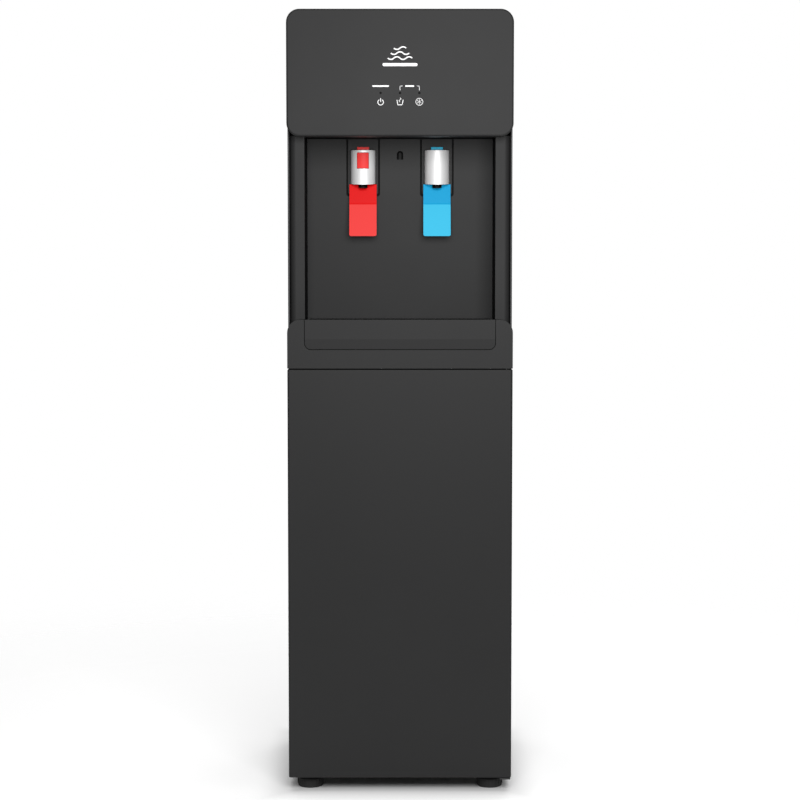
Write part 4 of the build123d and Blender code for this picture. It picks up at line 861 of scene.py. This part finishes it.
# ---------------------------------------------------------------- blank plate on the back
# A plain aluminium plate on two rivets, level with the switches, where a maker would rivet a
# data plate.
rear_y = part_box("side_panel_left")[1].y
switch_low, switch_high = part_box("switch_plate")
blank_x = -(switch_low.x + switch_high.x) / 2
blank_z = (switch_low.z + switch_high.z) / 2
blank_w = 64 * MM
blank_h = 34 * MM
blank_t = 0.6 * MM
blank_edge = 0.2 * MM
rivet_r = 2.0 * MM
rivet_inset = 5 * MM
rivet_flatness = 0.5
start_clean()
bpy.ops.mesh.primitive_cube_add(size=1.0, location=(blank_x, rear_y + blank_t / 2, blank_z))
bpy.context.object.scale = (blank_w, blank_t, blank_h)
bpy.ops.object.transform_apply(location=False, rotation=False, scale=True)
modify("BEVEL", width=blank_edge, segments=2)
plate_parts = [bpy.context.object]
for side in (-1, 1):
    start_clean()
    bpy.ops.mesh.primitive_uv_sphere_add(
        segments=20,
        ring_count=10,
        radius=rivet_r,
        location=(blank_x + side * (blank_w / 2 - rivet_inset), rear_y + blank_t, blank_z),
    )
    bpy.context.object.scale.y = rivet_flatness
    plate_parts.append(bpy.context.object)
join_pieces(plate_parts)
finish_piece("blank_plate", "cabinet", bare_metal)

# ---------------------------------------------------------------- studio
# A plain pale floor that fades into a white room, a soft box in front at head height, a weaker
# one overhead for the floor, and a weak one behind.
floor_r = 1.7
fade_from, fade_to = 0.6, 1.5
shade_from, shade_to = -0.03, 0.05
start_clean()
bpy.ops.mesh.primitive_circle_add(vertices=96, radius=floor_r, fill_type="NGON")
floor = bpy.context.object
floor.name = "studio_floor"
floor_finish, place = new_finish(
    "studio_paper", Roughness=0.9, Specular_IOR_Level=0.0, Emission_Strength=0.42
)
floor.data.materials.append(floor_finish)


def eased(signal, start, end, first, last):
    """A smooth step from first to last while the signal goes from start to end."""
    inputs = {0: signal, 1: start, 2: end, 3: first, 4: last}
    return signal.node("ShaderNodeMapRange", {"interpolation_type": "SMOOTHSTEP"}, inputs)


paper = place.noise(2.0).blend(grey(0.86), grey(0.88))
reach = place.node("ShaderNodeVectorMath", {"operation": "LENGTH"}, {0: place}, output=1)

# the floor's own glow dies away under the cabinet, where no room light would reach it
half_w = (cad_box[1][0] - cad_box[0][0]) / 2
half_d = (cad_box[1][1] - cad_box[0][1]) / 2
middle_y = (cad_box[1][1] + cad_box[0][1]) / 2
past_side = abs(place.along("X")) - half_w
past_front = abs(place.along("Y") - middle_y) - half_d
outside = past_side.math("MAXIMUM", past_side, past_front)
open_floor = eased(outside, shade_from, shade_to, 0.0, 1.0)
feed(
    floor_finish,
    Base_Color=paper,
    Emission_Color=open_floor.blend(grey(0.0), paper),
    Alpha=eased(reach, fade_from, fade_to, 1.0, 0.0),
)


def soft_light(name, size, energy, place, target):
    """A square soft box aimed at a target."""
    bpy.ops.object.light_add(type="AREA", location=place)
    lamp = bpy.context.object
    lamp.name = name
    lamp.data.size = size
    lamp.data.energy = energy
    lamp.rotation_euler = (Vector(target) - Vector(place)).to_track_quat("-Z", "Y").to_euler()


tall = cad_box[1][2]
head_z = tall * 0.9
soft_light("front_light", 0.8, 21.0, place=(0.12, -1.45, 1.0), target=(0, 0, head_z))
soft_light("floor_light", 2.5, 30.0, place=(0.0, 0.4, 3.0), target=(0, 0, 0))
soft_light("back_light", 1.4, 16.0, place=(0.6, 2.2, 1.6), target=(0, 0, tall / 2))

# the room is white to look at, and lights the object only faintly
room_light = 0.2
world = bpy.data.worlds.new("studio_room")
bpy.context.scene.world = world
world.use_nodes = True
room = world.node_tree.nodes["Background"]
room.inputs["Color"].default_value = (1, 1, 1, 1)
seen = Signal(world.node_tree.nodes.new("ShaderNodeLightPath").outputs["Is Camera Ray"])
strength = seen * (1.0 - room_light) + room_light
world.node_tree.links.new(strength.socket, room.inputs["Strength"])

# seen from standing height, a little above the middle, through a long lens
eye = (0.0, -2.865, 0.726)
look_down = radians(4.15)
bpy.ops.object.camera_add(location=eye, rotation=(pi / 2 - look_down, 0, 0))
camera = bpy.context.object
camera.data.sensor_width = 36.0
camera.data.lens = 91.5
bpy.context.scene.camera = camera
bpy.context.scene.view_settings.view_transform = "Standard"
